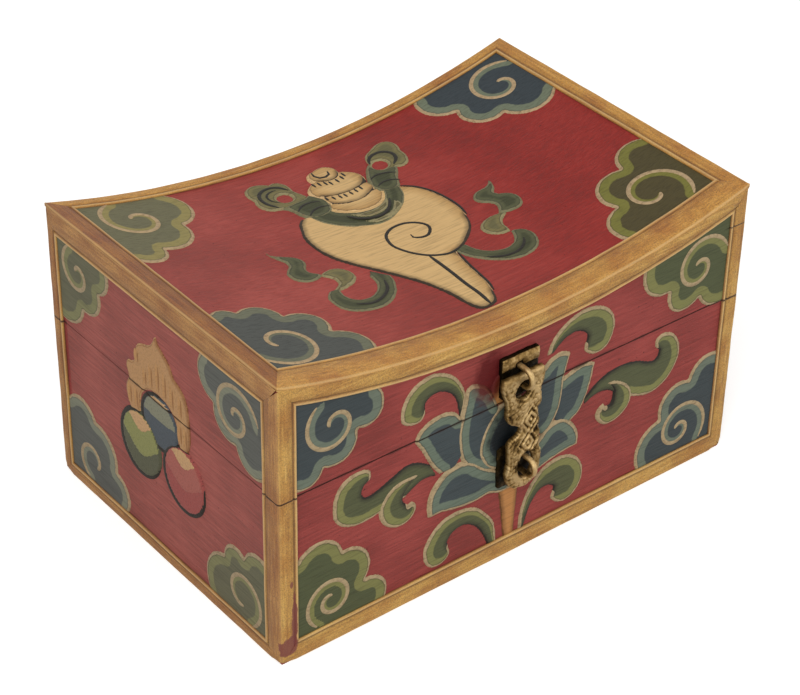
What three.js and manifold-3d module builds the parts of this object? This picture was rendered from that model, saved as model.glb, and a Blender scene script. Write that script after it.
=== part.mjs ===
// A painted wooden jewellery box with a dished lid, gilt edge strips and a cast brass hasp.
// Millimetres, +Z up. +X runs along the long front to its right end, and -Y faces the viewer.
// The origin is the middle of the underside, where the box rests.

import * as THREE from "three";
import { mergeVertices } from "three/addons/utils/BufferGeometryUtils.js";
import Module from "manifold-3d";

// Overall size, over the gilt strips. The lid's height is taken at its ends, where it stands tallest.
const BOX_LENGTH = 206;
const BOX_DEPTH = 138;
const SPLIT_HEIGHT = 69;
const LID_HEIGHT = 47;
const LID_DISH = 15;

// Boards and lining.
const WALL = 7;
const BASE_BOARD = 6;
const TOP_BOARD = 8;
const LINING = 1.5;

// Gilt strips, laid on the faces of the boards. Their widths differ from edge to edge, as on work done by hand.
// A corner strip has one leg on the long face and one on the end.
const STRIP_THICKNESS = 1.2;
const CORNER_LONG_LEG = 7.8;
const CORNER_END_LEG = { front: 9.5, back: 6.5 };
const BOTTOM_STRIP = { long: 8.5, end: 6 };
const EDGE_STRIP = { long: 7, end: 9.5 };
const TOP_STRIP = { left: 9, right: 6.7, front: 12, back: 6 };
const ARRIS_RADIUS = 2.5;

// Gaps: between lid and case, round a cut, and the glue line under a sloping joint.
const SPLIT_GAP = 0.3;
const CUT_GAP = 0.3;
const GLUE_LINE = 0.05;

// Butt hinges let into the back boards.
const HINGE_INSET = 41;
const HINGE_LENGTH = 25;
const LEAF_THICKNESS = 1.2;
const BARREL_RADIUS = 2.2;
const BARREL_CLEARANCE = 0.2;
const PIN_RADIUS = 1;
const PIN_CLEARANCE = 0.15;
const SCREW_INSET = 5;
const SCREW_SHANK = 0.8;
const SCREW_HEAD = 1.8;
const SCREW_SINK = 0.9;
const SCREW_LENGTH = 9;

// Hasp: a cast strap that hangs on one staple and drops over another.
const HASP_X = -3.4;
const HASP_PIVOT_RISE = 9.45;
const HASP_REACH = 38.3;
const CATCH_OFFSET = 2.6;
const STRAP_WIDTH = 18.2;
const STRAP_THICKNESS = 2.4;
const STRAP_STANDOFF = 4.5;
const STRAP_BAR = 2.6;
const STAPLE_WIRE = 1;
const STAPLE_BORE = 2.4;
const LID_STAPLE_CENTRE = 5.8;
const CASE_STAPLE_CENTRE = 6.5;
const EYE_WIDTH = 7.6;
const UPPER_EYE = 7.8;
const EYE_SLACK = 1.2;
const HEAD_GAP = 1.3;
const LID_PLATE = { width: 18, foot: 1.2, margin: 4.3, thickness: 2, headThickness: 4.5 };
const CASE_PLATE = { width: 15, height: 18, thickness: 1.5 };

// How finely curves are cut.
const ARCH_STEPS = 24;
const ROUND_SIDES = 20;
const ARRIS_STEPS = 4;
const WIRE_SIDES = 10;
const EYE_SIDES = 32;
const STAPLE_STEPS = 20;
const OUTLINE_STEPS = 64;
const SCREW_SIDES = 12;

// Places worked out from the sizes above.
const halfLength = BOX_LENGTH / 2;
const halfDepth = BOX_DEPTH / 2;
const boardHalfLength = halfLength - STRIP_THICKNESS;
const boardHalfDepth = halfDepth - STRIP_THICKNESS;
const insideHalfLength = boardHalfLength - WALL;
const insideHalfDepth = boardHalfDepth - WALL;
const caseTop = SPLIT_HEIGHT - SPLIT_GAP / 2;
const lidBottom = SPLIT_HEIGHT + SPLIT_GAP / 2;
const hingeAxisY = boardHalfDepth + BARREL_RADIUS + BARREL_CLEARANCE;
const fieldY = -boardHalfDepth;
const boxHeight = SPLIT_HEIGHT + LID_HEIGHT;
const stapleReach = STAPLE_BORE + 2 * STAPLE_WIRE;
const eyeHeight = 2 * (stapleReach + EYE_SLACK);
const catchX = HASP_X + CATCH_OFFSET;
const plateFoot = lidBottom + LID_PLATE.foot;
const haspPivot = plateFoot + HASP_PIVOT_RISE;
const caseStapleHeight = haspPivot - HASP_REACH;

const wasm = await Module();
wasm.setup();

const finishes = {
  lacquer: new THREE.MeshStandardMaterial({ color: 0x8f3b39, roughness: 0.6, metalness: 0 }),
  gilt: new THREE.MeshStandardMaterial({ color: 0xc1954f, roughness: 0.5, metalness: 0.1 }),
  brass: new THREE.MeshStandardMaterial({ color: 0x8a7348, roughness: 0.55, metalness: 0.8 }),
  felt: new THREE.MeshStandardMaterial({ color: 0x5a1f1f, roughness: 0.95, metalness: 0 }),
};

// Shapes.

// A box between two limits on each axis.
function block([x0, x1], [y0, y1], [z0, z1]) {
  const geometry = new THREE.BoxGeometry(x1 - x0, y1 - y0, z1 - z0);
  return geometry.translate((x0 + x1) / 2, (y0 + y1) / 2, (z0 + z1) / 2);
}

// The height of the lid's top at x: a circular dish, cut into straight facets.
function archHeight(x) {
  const radius = (halfLength * halfLength + LID_DISH * LID_DISH) / (2 * LID_DISH);
  const exact = (at) => boxHeight - LID_DISH + radius - Math.sqrt(radius * radius - at * at);
  const step = BOX_LENGTH / ARCH_STEPS;
  const index = Math.min(Math.max(Math.floor((x + halfLength) / step), 0), ARCH_STEPS - 1);
  const left = index * step - halfLength;
  const share = (x - left) / step;
  return exact(left) * (1 - share) + exact(left + step) * share;
}

// The places along X where the arch's facets meet, with the two ends of a piece.
function archStations([x0, x1]) {
  const step = BOX_LENGTH / ARCH_STEPS;
  const inner = [];
  for (let index = 1; index < ARCH_STEPS; index += 1) {
    const x = index * step - halfLength;
    if (x > x0 + 0.01 && x < x1 - 0.01) inner.push(x);
  }
  return [x0, ...inner, x1];
}

// An outline in X and Z, extruded along Y.
function extrudeAlongY(shape, [y0, y1]) {
  const geometry = new THREE.ExtrudeGeometry(shape, { depth: y1 - y0, bevelEnabled: false });
  return geometry.rotateX(Math.PI / 2).translate(0, y1, 0);
}

// A piece whose upper edge, and lower edge too if it has a drop, follows the arch.
function archedPiece(xRange, yRange, topDrop, bottom) {
  const stations = archStations(xRange);
  const upper = stations.map((x) => new THREE.Vector2(x, archHeight(x) - topDrop));
  const lower = "drop" in bottom
    ? stations.map((x) => new THREE.Vector2(x, archHeight(x) - bottom.drop))
    : [new THREE.Vector2(xRange[0], bottom.z), new THREE.Vector2(xRange[1], bottom.z)];
  return extrudeAlongY(new THREE.Shape([...lower, ...upper.reverse()]), yRange);
}

// The range from an outer face inwards, on the low or the high side.
function inward(sign, outer, thickness) {
  return sign < 0 ? [-outer, thickness - outer] : [outer - thickness, outer];
}

// A cylinder along X.
function rodAlongX(radius, [x0, x1], y, z) {
  const geometry = new THREE.CylinderGeometry(radius, radius, x1 - x0, ROUND_SIDES);
  return geometry.rotateZ(Math.PI / 2).translate((x0 + x1) / 2, y, z);
}

// Joining and cutting.

function toSolid(geometry) {
  const bare = geometry.clone();
  bare.deleteAttribute("normal");
  bare.deleteAttribute("uv");
  const merged = mergeVertices(bare, 1e-4);
  return new wasm.Manifold(new wasm.Mesh({
    numProp: 3,
    vertProperties: new Float32Array(merged.attributes.position.array),
    triVerts: new Uint32Array(merged.index.array),
  }));
}

function toGeometry(solid) {
  const mesh = solid.getMesh();
  const geometry = new THREE.BufferGeometry();
  geometry.setAttribute("position", new THREE.BufferAttribute(mesh.vertProperties, 3));
  geometry.setIndex(new THREE.BufferAttribute(mesh.triVerts, 1));
  geometry.computeVertexNormals();
  return geometry;
}

function join(geometries) {
  return toGeometry(geometries.map(toSolid).reduce((whole, piece) => whole.add(piece)));
}

function cut(geometry, tools) {
  return toGeometry(tools.map(toSolid).reduce((whole, tool) => whole.subtract(tool), toSolid(geometry)));
}

function keepWithin(geometry, region) {
  return toGeometry(toSolid(geometry).intersect(toSolid(region)));
}

function addPiece(group, name, geometry, finish) {
  const mesh = new THREE.Mesh(geometry, finish);
  mesh.name = name;
  group.add(mesh);
}

// Hinges.

const hingeCentres = [HINGE_INSET - boardHalfLength, boardHalfLength - HINGE_INSET];

// A leaf lies against the split: level -1 is the case's leaf, level +1 the lid's.
function leafHeights(level) {
  return level < 0 ? [caseTop - LEAF_THICKNESS, caseTop] : [lidBottom, lidBottom + LEAF_THICKNESS];
}

// The case's leaf carries the two outer knuckles, and the lid's leaf the middle one.
function knuckleRanges(centre, level) {
  const third = HINGE_LENGTH / 3;
  const start = centre - HINGE_LENGTH / 2;
  const slack = CUT_GAP / 2;
  const outer = [[start, start + third - slack], [start + 2 * third + slack, start + 3 * third]];
  return level < 0 ? outer : [[start + third + slack, start + 2 * third - slack]];
}

// A countersunk screw or, with a gap, the hole for it. The head's face lies at z = 0.
function screwBody(gap) {
  const shank = SCREW_SHANK + gap;
  const head = SCREW_HEAD + gap;
  const tip = -SCREW_LENGTH - gap;
  const cone = [[0, tip], [shank, tip], [shank, -SCREW_SINK], [head, 0]];
  const profile = gap > 0 ? [...cone, [head, gap], [0, gap]] : [...cone, [0, 0]];
  const points = profile.map(([radius, z]) => new THREE.Vector2(radius, z));
  return new THREE.LatheGeometry(points, SCREW_SIDES).rotateX(Math.PI / 2);
}

function screwPlaces(centre) {
  const y = boardHalfDepth - WALL / 2;
  const offset = HINGE_LENGTH / 2 - SCREW_INSET;
  return [{ x: centre - offset, y }, { x: centre + offset, y }];
}

function placeScrew(geometry, place, level) {
  if (level > 0) geometry.rotateX(Math.PI);
  return geometry.translate(place.x, place.y, level < 0 ? caseTop : lidBottom);
}

function hingeLeaf(centre, level) {
  const heights = leafHeights(level);
  const ends = [centre - HINGE_LENGTH / 2, centre + HINGE_LENGTH / 2];
  const parts = [block(ends, [insideHalfDepth, boardHalfDepth], heights)];
  for (const range of knuckleRanges(centre, level)) {
    parts.push(block(range, [boardHalfDepth - 1, hingeAxisY], heights));
    parts.push(rodAlongX(BARREL_RADIUS, range, hingeAxisY, SPLIT_HEIGHT));
  }
  const bore = rodAlongX(PIN_RADIUS + PIN_CLEARANCE, [ends[0] - 1, ends[1] + 1], hingeAxisY, SPLIT_HEIGHT);
  const holes = screwPlaces(centre).map((place) => placeScrew(screwBody(CUT_GAP), place, level));
  return cut(join(parts), [bore, ...holes]);
}

// The mortises and screw holes that one back board needs.
function hingeCuts(level) {
  const [low, high] = leafHeights(level);
  const tools = [];
  for (const centre of hingeCentres) {
    const reach = HINGE_LENGTH / 2 + CUT_GAP;
    const heights = level < 0 ? [low - CUT_GAP, high + 1] : [low - 1, high + CUT_GAP];
    tools.push(block([centre - reach, centre + reach], [insideHalfDepth - 1, boardHalfDepth + 1], heights));
    for (const place of screwPlaces(centre)) tools.push(placeScrew(screwBody(CUT_GAP), place, level));
  }
  return tools;
}

function addHinges(caseGroup, lidGroup) {
  hingeCentres.forEach((centre, index) => {
    const side = index === 0 ? "left" : "right";
    const bodies = [[caseGroup, "case", -1], [lidGroup, "lid", 1]];
    for (const [group, owner, level] of bodies) {
      addPiece(group, `hinge_${side}_${owner}_leaf`, hingeLeaf(centre, level), finishes.brass);
      screwPlaces(centre).forEach((place, screw) => {
        const body = placeScrew(screwBody(0), place, level);
        addPiece(group, `hinge_${side}_${owner}_screw_${screw + 1}`, body, finishes.brass);
      });
    }
    const pinEnds = [centre - HINGE_LENGTH / 2, centre + HINGE_LENGTH / 2];
    const pin = rodAlongX(PIN_RADIUS, pinEnds, hingeAxisY, SPLIT_HEIGHT);
    addPiece(caseGroup, `hinge_${side}_pin`, pin, finishes.brass);
  });
}

// Case.

function addCase(group) {
  const heights = [0, caseTop];
  const long = [-boardHalfLength, boardHalfLength];
  const between = [-insideHalfDepth, insideHalfDepth];
  const back = block(long, inward(1, boardHalfDepth, WALL), heights);
  addPiece(group, "case_front_board", block(long, inward(-1, boardHalfDepth, WALL), heights), finishes.lacquer);
  addPiece(group, "case_back_board", cut(back, hingeCuts(-1)), finishes.lacquer);
  addPiece(group, "case_left_board", block(inward(-1, boardHalfLength, WALL), between, heights), finishes.lacquer);
  addPiece(group, "case_right_board", block(inward(1, boardHalfLength, WALL), between, heights), finishes.lacquer);
  const inside = [-insideHalfLength, insideHalfLength];
  addPiece(group, "base_board", block(inside, between, [0, BASE_BOARD]), finishes.lacquer);
  const liningX = [CUT_GAP - insideHalfLength, insideHalfLength - CUT_GAP];
  const liningY = [CUT_GAP - insideHalfDepth, insideHalfDepth - CUT_GAP];
  const lining = block(liningX, liningY, [BASE_BOARD, BASE_BOARD + LINING]);
  addPiece(group, "base_lining", lining, finishes.felt);
}

function cornerEndLeg(endY) {
  return endY < 0 ? CORNER_END_LEG.front : CORNER_END_LEG.back;
}

// The plan of a corner strip: an L that wraps the corner, with a rounded arris.
function cornerPlan(endX, endY) {
  const endLeg = cornerEndLeg(endY);
  const outer = [];
  for (let step = 0; step <= ARRIS_STEPS; step += 1) {
    const angle = (Math.PI / 2) * (step / ARRIS_STEPS);
    const x = halfLength - ARRIS_RADIUS * (1 - Math.sin(angle));
    const y = halfDepth - ARRIS_RADIUS * (1 - Math.cos(angle));
    outer.push([x, y]);
  }
  const plan = [
    [halfLength - CORNER_LONG_LEG, boardHalfDepth],
    [halfLength - CORNER_LONG_LEG, halfDepth],
    ...outer,
    [halfLength, halfDepth - endLeg],
    [boardHalfLength, halfDepth - endLeg],
    [boardHalfLength, boardHalfDepth],
  ];
  return new THREE.Shape(plan.map(([x, y]) => new THREE.Vector2(endX * x, endY * y)));
}

function cornerStrip(endX, endY, z0, z1) {
  const geometry = new THREE.ExtrudeGeometry(cornerPlan(endX, endY), { depth: z1 - z0, bevelEnabled: false });
  return geometry.translate(0, 0, z0);
}

const corners = [["front_left", -1, -1], ["front_right", 1, -1], ["back_left", -1, 1], ["back_right", 1, 1]];
const longFaces = [["front", -1], ["back", 1]];
const endFaces = [["left", -1], ["right", 1]];

function addCaseStrips(group) {
  for (const [corner, endX, endY] of corners) {
    addPiece(group, `case_${corner}_corner_strip`, cornerStrip(endX, endY, 0, caseTop), finishes.gilt);
  }
  const alongX = [CORNER_LONG_LEG - halfLength, halfLength - CORNER_LONG_LEG];
  const alongY = [cornerEndLeg(-1) - halfDepth, halfDepth - cornerEndLeg(1)];
  for (const [face, sign] of longFaces) {
    const strip = block(alongX, inward(sign, halfDepth, STRIP_THICKNESS), [0, BOTTOM_STRIP.long]);
    addPiece(group, `case_${face}_bottom_strip`, strip, finishes.gilt);
  }
  for (const [face, sign] of endFaces) {
    const strip = block(inward(sign, halfLength, STRIP_THICKNESS), alongY, [0, BOTTOM_STRIP.end]);
    addPiece(group, `case_${face}_bottom_strip`, strip, finishes.gilt);
  }
}

// Lid.

const topBoardDrop = STRIP_THICKNESS + GLUE_LINE;
const wallTopDrop = topBoardDrop + TOP_BOARD + GLUE_LINE;
const longStripDrop = topBoardDrop + EDGE_STRIP.long;
const endStripDrop = topBoardDrop + EDGE_STRIP.end;

function addLid(group) {
  const long = [-boardHalfLength, boardHalfLength];
  const deep = [-boardHalfDepth, boardHalfDepth];
  const between = [-insideHalfDepth, insideHalfDepth];
  const floor = { z: lidBottom };
  const top = archedPiece(long, deep, topBoardDrop, { drop: topBoardDrop + TOP_BOARD });
  const back = archedPiece(long, inward(1, boardHalfDepth, WALL), wallTopDrop, floor);
  const front = archedPiece(long, inward(-1, boardHalfDepth, WALL), wallTopDrop, floor);
  addPiece(group, "lid_top_board", top, finishes.lacquer);
  addPiece(group, "lid_front_board", front, finishes.lacquer);
  addPiece(group, "lid_back_board", cut(back, hingeCuts(1)), finishes.lacquer);
  for (const [side, sign] of [["left", -1], ["right", 1]]) {
    const end = archedPiece(inward(sign, boardHalfLength, WALL), between, wallTopDrop, floor);
    addPiece(group, `lid_${side}_board`, end, finishes.lacquer);
  }
}

function addLidStrips(group) {
  const full = [-halfLength, halfLength];
  const deep = [-boardHalfDepth, boardHalfDepth];
  const foot = { z: lidBottom - 1 };
  for (const [corner, endX, endY] of corners) {
    const tall = cornerStrip(endX, endY, lidBottom, boxHeight);
    const underLong = archedPiece(full, inward(endY, halfDepth, STRIP_THICKNESS), longStripDrop + GLUE_LINE, foot);
    const underEnd = archedPiece(full, deep, endStripDrop + GLUE_LINE, foot);
    const strip = keepWithin(tall, join([underLong, underEnd]));
    addPiece(group, `lid_${corner}_corner_strip`, strip, finishes.gilt);
  }
  for (const [face, sign] of longFaces) {
    const y = inward(sign, halfDepth, STRIP_THICKNESS);
    const edge = archedPiece(full, y, topBoardDrop, { drop: longStripDrop });
    addPiece(group, `lid_${face}_edge_strip`, edge, finishes.gilt);
  }
  for (const [face, sign] of endFaces) {
    const x = inward(sign, halfLength, STRIP_THICKNESS);
    const edge = archedPiece(x, deep, topBoardDrop, { drop: endStripDrop });
    addPiece(group, `lid_${face}_edge_strip`, edge, finishes.gilt);
  }
}

// The four strips round the dished top: the end strips run the full depth.
function addTopStrips(group) {
  const under = { drop: STRIP_THICKNESS };
  for (const [side, sign] of endFaces) {
    const x = inward(sign, halfLength, TOP_STRIP[side]);
    const strip = archedPiece(x, [-halfDepth, halfDepth], 0, under);
    addPiece(group, `top_${side}_strip`, strip, finishes.gilt);
  }
  const between = [TOP_STRIP.left - halfLength, halfLength - TOP_STRIP.right];
  for (const [side, sign] of longFaces) {
    const strip = archedPiece(between, inward(sign, halfDepth, TOP_STRIP[side]), 0, under);
    addPiece(group, `top_${side}_strip`, strip, finishes.gilt);
  }
}

// Hasp.

// A level ellipse or circle of points, with no point repeated.
function ring(radiusX, radiusZ, centre, sides) {
  const points = [];
  for (let side = 0; side < sides; side += 1) {
    const angle = (2 * Math.PI * side) / sides;
    points.push(new THREE.Vector2(radiusX * Math.cos(angle), centre + radiusZ * Math.sin(angle)));
  }
  return points;
}

// A staple's wire: out from the plate, round a half circle in the upright plane, and back.
class StapleCurve extends THREE.Curve {
  constructor(start, centre) {
    super();
    this.start = start;
    this.centre = centre;
    this.radius = STAPLE_BORE + STAPLE_WIRE;
  }

  getPoint(t) {
    const leg = this.centre - this.start;
    const arc = Math.PI * this.radius;
    const along = t * (2 * leg + arc);
    if (along <= leg) return new THREE.Vector3(0, -(this.start + along), this.radius);
    if (along >= leg + arc) return new THREE.Vector3(0, -(this.centre - (along - leg - arc)), -this.radius);
    const angle = (along - leg) / this.radius;
    return new THREE.Vector3(0, -(this.centre + this.radius * Math.sin(angle)), this.radius * Math.cos(angle));
  }
}

function staple(plateThickness, centre, x, height) {
  const section = new THREE.Shape(ring(STAPLE_WIRE, STAPLE_WIRE, 0, WIRE_SIDES));
  const path = new StapleCurve(plateThickness, centre);
  const geometry = new THREE.ExtrudeGeometry(section, { steps: STAPLE_STEPS, extrudePath: path });
  return geometry.translate(x, fieldY, height);
}

// The strap's scalloped outline: shares of its half width, at shares of the way to the lower eye. It is a rough
// casting, with a deep notch on the left above the eye that drops over the case's staple.
const strapLeft = [
  [-1.02, 0.04], [-0.9, 0.15], [-0.76, 0.24], [-0.75, 0.33], [-0.67, 0.44], [-0.44, 0.49], [-0.08, 0.55],
  [-0.06, 0.61], [-0.32, 0.65], [-0.63, 0.69], [-0.59, 0.79], [-0.58, 0.9], [-0.68, 1.05], [-0.53, 1.16],
  [-0.22, 1.22],
];
const strapRight = [
  [0.26, 1.23], [0.6, 1.21], [0.9, 1.13], [1.01, 1], [1.02, 0.9], [0.86, 0.81], [0.9, 0.68], [0.8, 0.62],
  [0.89, 0.55], [0.76, 0.44], [0.92, 0.33], [0.85, 0.21], [1.01, 0.07],
];
const strapShoulder = 0.96;

function eye(x, centre, height) {
  const points = ring(EYE_WIDTH / 2, height / 2, centre, EYE_SIDES);
  return new THREE.Path(points.map((point) => new THREE.Vector2(point.x + x, point.y)));
}

function strap() {
  const place = ([width, depth]) => new THREE.Vector2((width * STRAP_WIDTH) / 2, -depth * HASP_REACH);
  const shoulder = (strapShoulder * STRAP_WIDTH) / 2;
  const left = [new THREE.Vector2(-shoulder, STRAP_BAR / 2), ...strapLeft.map(place)];
  const right = [...strapRight.map(place), new THREE.Vector2(shoulder, STRAP_BAR / 2)];
  const halfSteps = OUTLINE_STEPS / 2;
  const outline = [
    ...new THREE.SplineCurve(left).getPoints(halfSteps),
    ...new THREE.SplineCurve(right).getPoints(halfSteps),
  ];
  const shape = new THREE.Shape(outline);
  shape.holes.push(eye(0, -STRAP_BAR / 2 - UPPER_EYE / 2, UPPER_EYE));
  shape.holes.push(eye(CATCH_OFFSET, -HASP_REACH, eyeHeight));
  const geometry = new THREE.ExtrudeGeometry(shape, { depth: STRAP_THICKNESS, bevelEnabled: false });
  geometry.rotateX(Math.PI / 2).translate(0, STRAP_THICKNESS / 2, 0);
  return geometry.translate(HASP_X, fieldY - STRAP_STANDOFF, haspPivot);
}

// The lid's plate has a thick head above the strap, with a slot in it for the staple's upper leg.
function lidPlate() {
  const x = [HASP_X - LID_PLATE.width / 2, HASP_X + LID_PLATE.width / 2];
  const top = archHeight(0) - longStripDrop - LID_PLATE.margin;
  const headFoot = haspPivot + STRAP_BAR / 2 + HEAD_GAP;
  const plate = block(x, [fieldY - LID_PLATE.thickness, fieldY], [plateFoot, top]);
  const head = block(x, [fieldY - LID_PLATE.headThickness, fieldY], [headFoot, top]);
  const slotX = [HASP_X - STAPLE_WIRE - CUT_GAP, HASP_X + STAPLE_WIRE + CUT_GAP];
  const slotY = [fieldY - LID_PLATE.headThickness - 1, fieldY - LID_PLATE.thickness];
  const slot = block(slotX, slotY, [headFoot - 1, haspPivot + stapleReach + CUT_GAP]);
  return cut(join([plate, head]), [slot]);
}

function casePlate() {
  const x = [HASP_X - CASE_PLATE.width / 2, HASP_X + CASE_PLATE.width / 2];
  const z = [caseStapleHeight - CASE_PLATE.height / 2, caseStapleHeight + CASE_PLATE.height / 2];
  return block(x, [fieldY - CASE_PLATE.thickness, fieldY], z);
}

function addHasp(caseGroup, lidGroup, haspGroup) {
  const caseStaple = staple(CASE_PLATE.thickness, CASE_STAPLE_CENTRE, catchX, caseStapleHeight);
  const lidStaple = staple(LID_PLATE.thickness, LID_STAPLE_CENTRE, HASP_X, haspPivot);
  addPiece(caseGroup, "hasp_case_plate", casePlate(), finishes.brass);
  addPiece(caseGroup, "hasp_case_staple", caseStaple, finishes.brass);
  addPiece(lidGroup, "hasp_lid_plate", lidPlate(), finishes.brass);
  addPiece(lidGroup, "hasp_lid_staple", lidStaple, finishes.brass);
  addPiece(haspGroup, "hasp_strap", strap(), finishes.brass);
}

const jewelleryBox = new THREE.Group();
const caseGroup = new THREE.Group();
const lidGroup = new THREE.Group();
const haspGroup = new THREE.Group();
lidGroup.add(haspGroup);
jewelleryBox.add(caseGroup, lidGroup);
addCase(caseGroup);
addCaseStrips(caseGroup);
addLid(lidGroup);
addLidStrips(lidGroup);
addTopStrips(lidGroup);
addHinges(caseGroup, lidGroup);
addHasp(caseGroup, lidGroup, haspGroup);

export default jewelleryBox;
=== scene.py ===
# %% [markdown]
# # A painted wooden jewellery box
# The box is built from boards, gilt mouldings and painted low relief, with a cast brass hasp.
# The frame file brings in the construction at its real size. This lesson dresses it: it replaces the plain
# mouldings and the hasp by finer ones, lays the carved ornament on the faces, and gives each finish a material.

# %% Load the frame
import math

import bmesh
import bpy
from mathutils import Matrix, Vector


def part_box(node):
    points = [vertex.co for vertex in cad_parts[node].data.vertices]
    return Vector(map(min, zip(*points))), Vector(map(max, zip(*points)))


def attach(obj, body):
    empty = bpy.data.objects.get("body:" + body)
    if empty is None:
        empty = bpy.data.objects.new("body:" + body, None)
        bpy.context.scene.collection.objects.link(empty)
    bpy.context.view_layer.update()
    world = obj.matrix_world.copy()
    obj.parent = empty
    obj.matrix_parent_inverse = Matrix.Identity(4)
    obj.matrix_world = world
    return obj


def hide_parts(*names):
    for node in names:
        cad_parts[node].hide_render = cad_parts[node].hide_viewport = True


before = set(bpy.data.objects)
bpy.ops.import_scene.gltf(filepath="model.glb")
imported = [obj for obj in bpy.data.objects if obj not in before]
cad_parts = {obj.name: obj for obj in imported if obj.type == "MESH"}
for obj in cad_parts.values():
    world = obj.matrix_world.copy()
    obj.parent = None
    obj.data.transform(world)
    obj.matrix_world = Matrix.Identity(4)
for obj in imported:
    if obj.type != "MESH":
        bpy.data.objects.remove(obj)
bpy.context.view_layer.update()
MM = 0.001

# %% [markdown]
# ## Sizes
# Everything below is written in millimetres and turned into metres once, when a vertex is placed. The sizes
# come from the frame, so the mouldings and the ornament stay on the boards that carry them.

# %% Sizes taken from the frame
def node_box(name):
    low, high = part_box(name)
    return low / MM, high / MM


board_low, board_high = node_box("case_front_board")
strip_low, strip_high = node_box("lid_front_edge_strip")
HALF_LENGTH = strip_high.x
HALF_DEPTH = -strip_low.y
BOARD_X = board_high.x
BOARD_Y = -board_low.y
TOP_Z = node_box("top_left_strip")[1].z
CASE_TOP = board_high.z
LID_BOTTOM = node_box("lid_front_board")[0].z
STRIP = HALF_LENGTH - BOARD_X
DISH = TOP_Z - node_box("top_front_strip")[0].z - STRIP
GLUE = 0.05
print("half length", round(HALF_LENGTH, 1), "strip", round(STRIP, 2), "dish", round(DISH, 1))


def arch(x):
    """The height of the dished top at x, a circular arc between the two ends."""
    radius = (HALF_LENGTH**2 + DISH**2) / (2 * DISH)
    return TOP_Z - DISH + radius - math.sqrt(radius**2 - min(abs(x), HALF_LENGTH) ** 2)


# %% [markdown]
# ## Helpers
# A colour is written as the sRGB hex value that a paint chart would give, and one function turns it to the
# linear values that the renderer works in. One small function adds a node with its settings and links.

# %% Colour and nodes
def linear(hex_colour):
    channels = [int(hex_colour[i:i + 2], 16) / 255 for i in (1, 3, 5)]
    return [c / 12.92 if c <= 0.04045 else ((c + 0.055) / 1.055) ** 2.4 for c in channels] + [1.0]


def add_node(tree, kind, inputs=None, **settings):
    """Adds a node. Each input is a value for its socket, or another node's output to link to it."""
    node = tree.nodes.new("ShaderNode" + kind)
    for name, value in settings.items():
        setattr(node, name, value)
    for name, value in (inputs or {}).items():
        socket = node.inputs[name]
        if isinstance(value, bpy.types.NodeSocket):
            tree.links.new(value, socket)
        else:
            socket.default_value = value
    return node


def set_stops(ramp, stops, interpolation="LINEAR"):
    """Gives a colour ramp its stops: (position, hex colour or grey value)."""
    ramp.color_ramp.interpolation = interpolation
    elements = ramp.color_ramp.elements
    while len(elements) < len(stops):
        elements.new(0.5)
    for element, (position, colour) in zip(elements, stops):
        element.position = position
        element.color = linear(colour) if isinstance(colour, str) else [colour, colour, colour, 1]


def new_material(name):
    material = bpy.data.materials.new(name)
    material.use_nodes = True
    return material, material.node_tree, material.node_tree.nodes["Principled BSDF"]


# %% [markdown]
# ## Red paint on a wooden board
# The fields are painted with a matt dark red, thinned and brushed along the board. The eye sees fine streaks
# where the bristles ran, slightly lighter and darker patches, and small dark specks of old varnish and dirt.

# %% Brushed paint
STREAK_LONG = 13.0
STREAK_WIDE = 0.75
PATCH = 34.0
SPECK = 1.1


def streak_scale(axis):
    """Noise scale per metre, long along the brushed axis and fine across it."""
    return [1 / (STREAK_LONG * MM) if name == axis else 1 / (STREAK_WIDE * MM) for name in "XYZ"]


WEAR_AND_HASP_SHADOWS = [
    # where, how far it reaches, how soft its edge is, how strong it is, its colour:
    # two painted shadows cast by the hasp, beside its head and beside its strap, then the foot, then a crack
    ((-14.5, -68, 81.5), (8, 4, 11), 0.5, 0.92, "#560C0D"),
    ((-8.5, -68, 55), (7, 4, 12.5), 0.5, 0.95, "#0B1013"),
    ((-96.9, -68, 18), (1.4, 3, 13), 0.08, 0.9, "#74302A"),
    ((-99, -68, 7.5), (4.6, 3, 5), 0.08, 0.9, "#74302A"),
    ((-98, -68, 34), (0.9, 3, 1.8), 0.08, 0.8, "#74302A"),
    ((97.5, -68, 100), (6, 4, 0.3), 0.3, 0.9, "#22130C"),
]


def worn_places_and_hasp_shadows(tree, place, colour):
    """Painted shadows that the hasp casts beside its head and strap, ragged worn patches at a corner's foot, and a
    crack.
    """
    ragged = add_node(tree, "TexNoise", {"Vector": place, "Scale": 1 / (4 * MM), "Detail": 5, "Roughness": 0.65})
    for centre, reach, soft, most, tone in WEAR_AND_HASP_SHADOWS:
        offset = add_node(tree, "VectorMath", {0: place, 1: Vector(centre) * MM}, operation="SUBTRACT")
        share = add_node(tree, "VectorMath", {0: offset.outputs[0], 1: Vector(reach) * MM}, operation="DIVIDE")
        away = add_node(tree, "VectorMath", {0: share.outputs[0]}, operation="LENGTH").outputs["Value"]
        edge = add_node(tree, "Math", {0: away, 1: ragged.outputs["Fac"]}, operation="ADD")
        mark = add_node(tree, "MapRange", {"Value": edge.outputs[0], "From Min": 1.35 + soft / 2,
                                           "From Max": 1.35 - soft / 2, "To Max": most})
        colour = add_node(tree, "Mix", {0: mark.outputs[0], 6: colour, 7: linear(tone)}, data_type="RGBA").outputs[2]
    return colour


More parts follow.
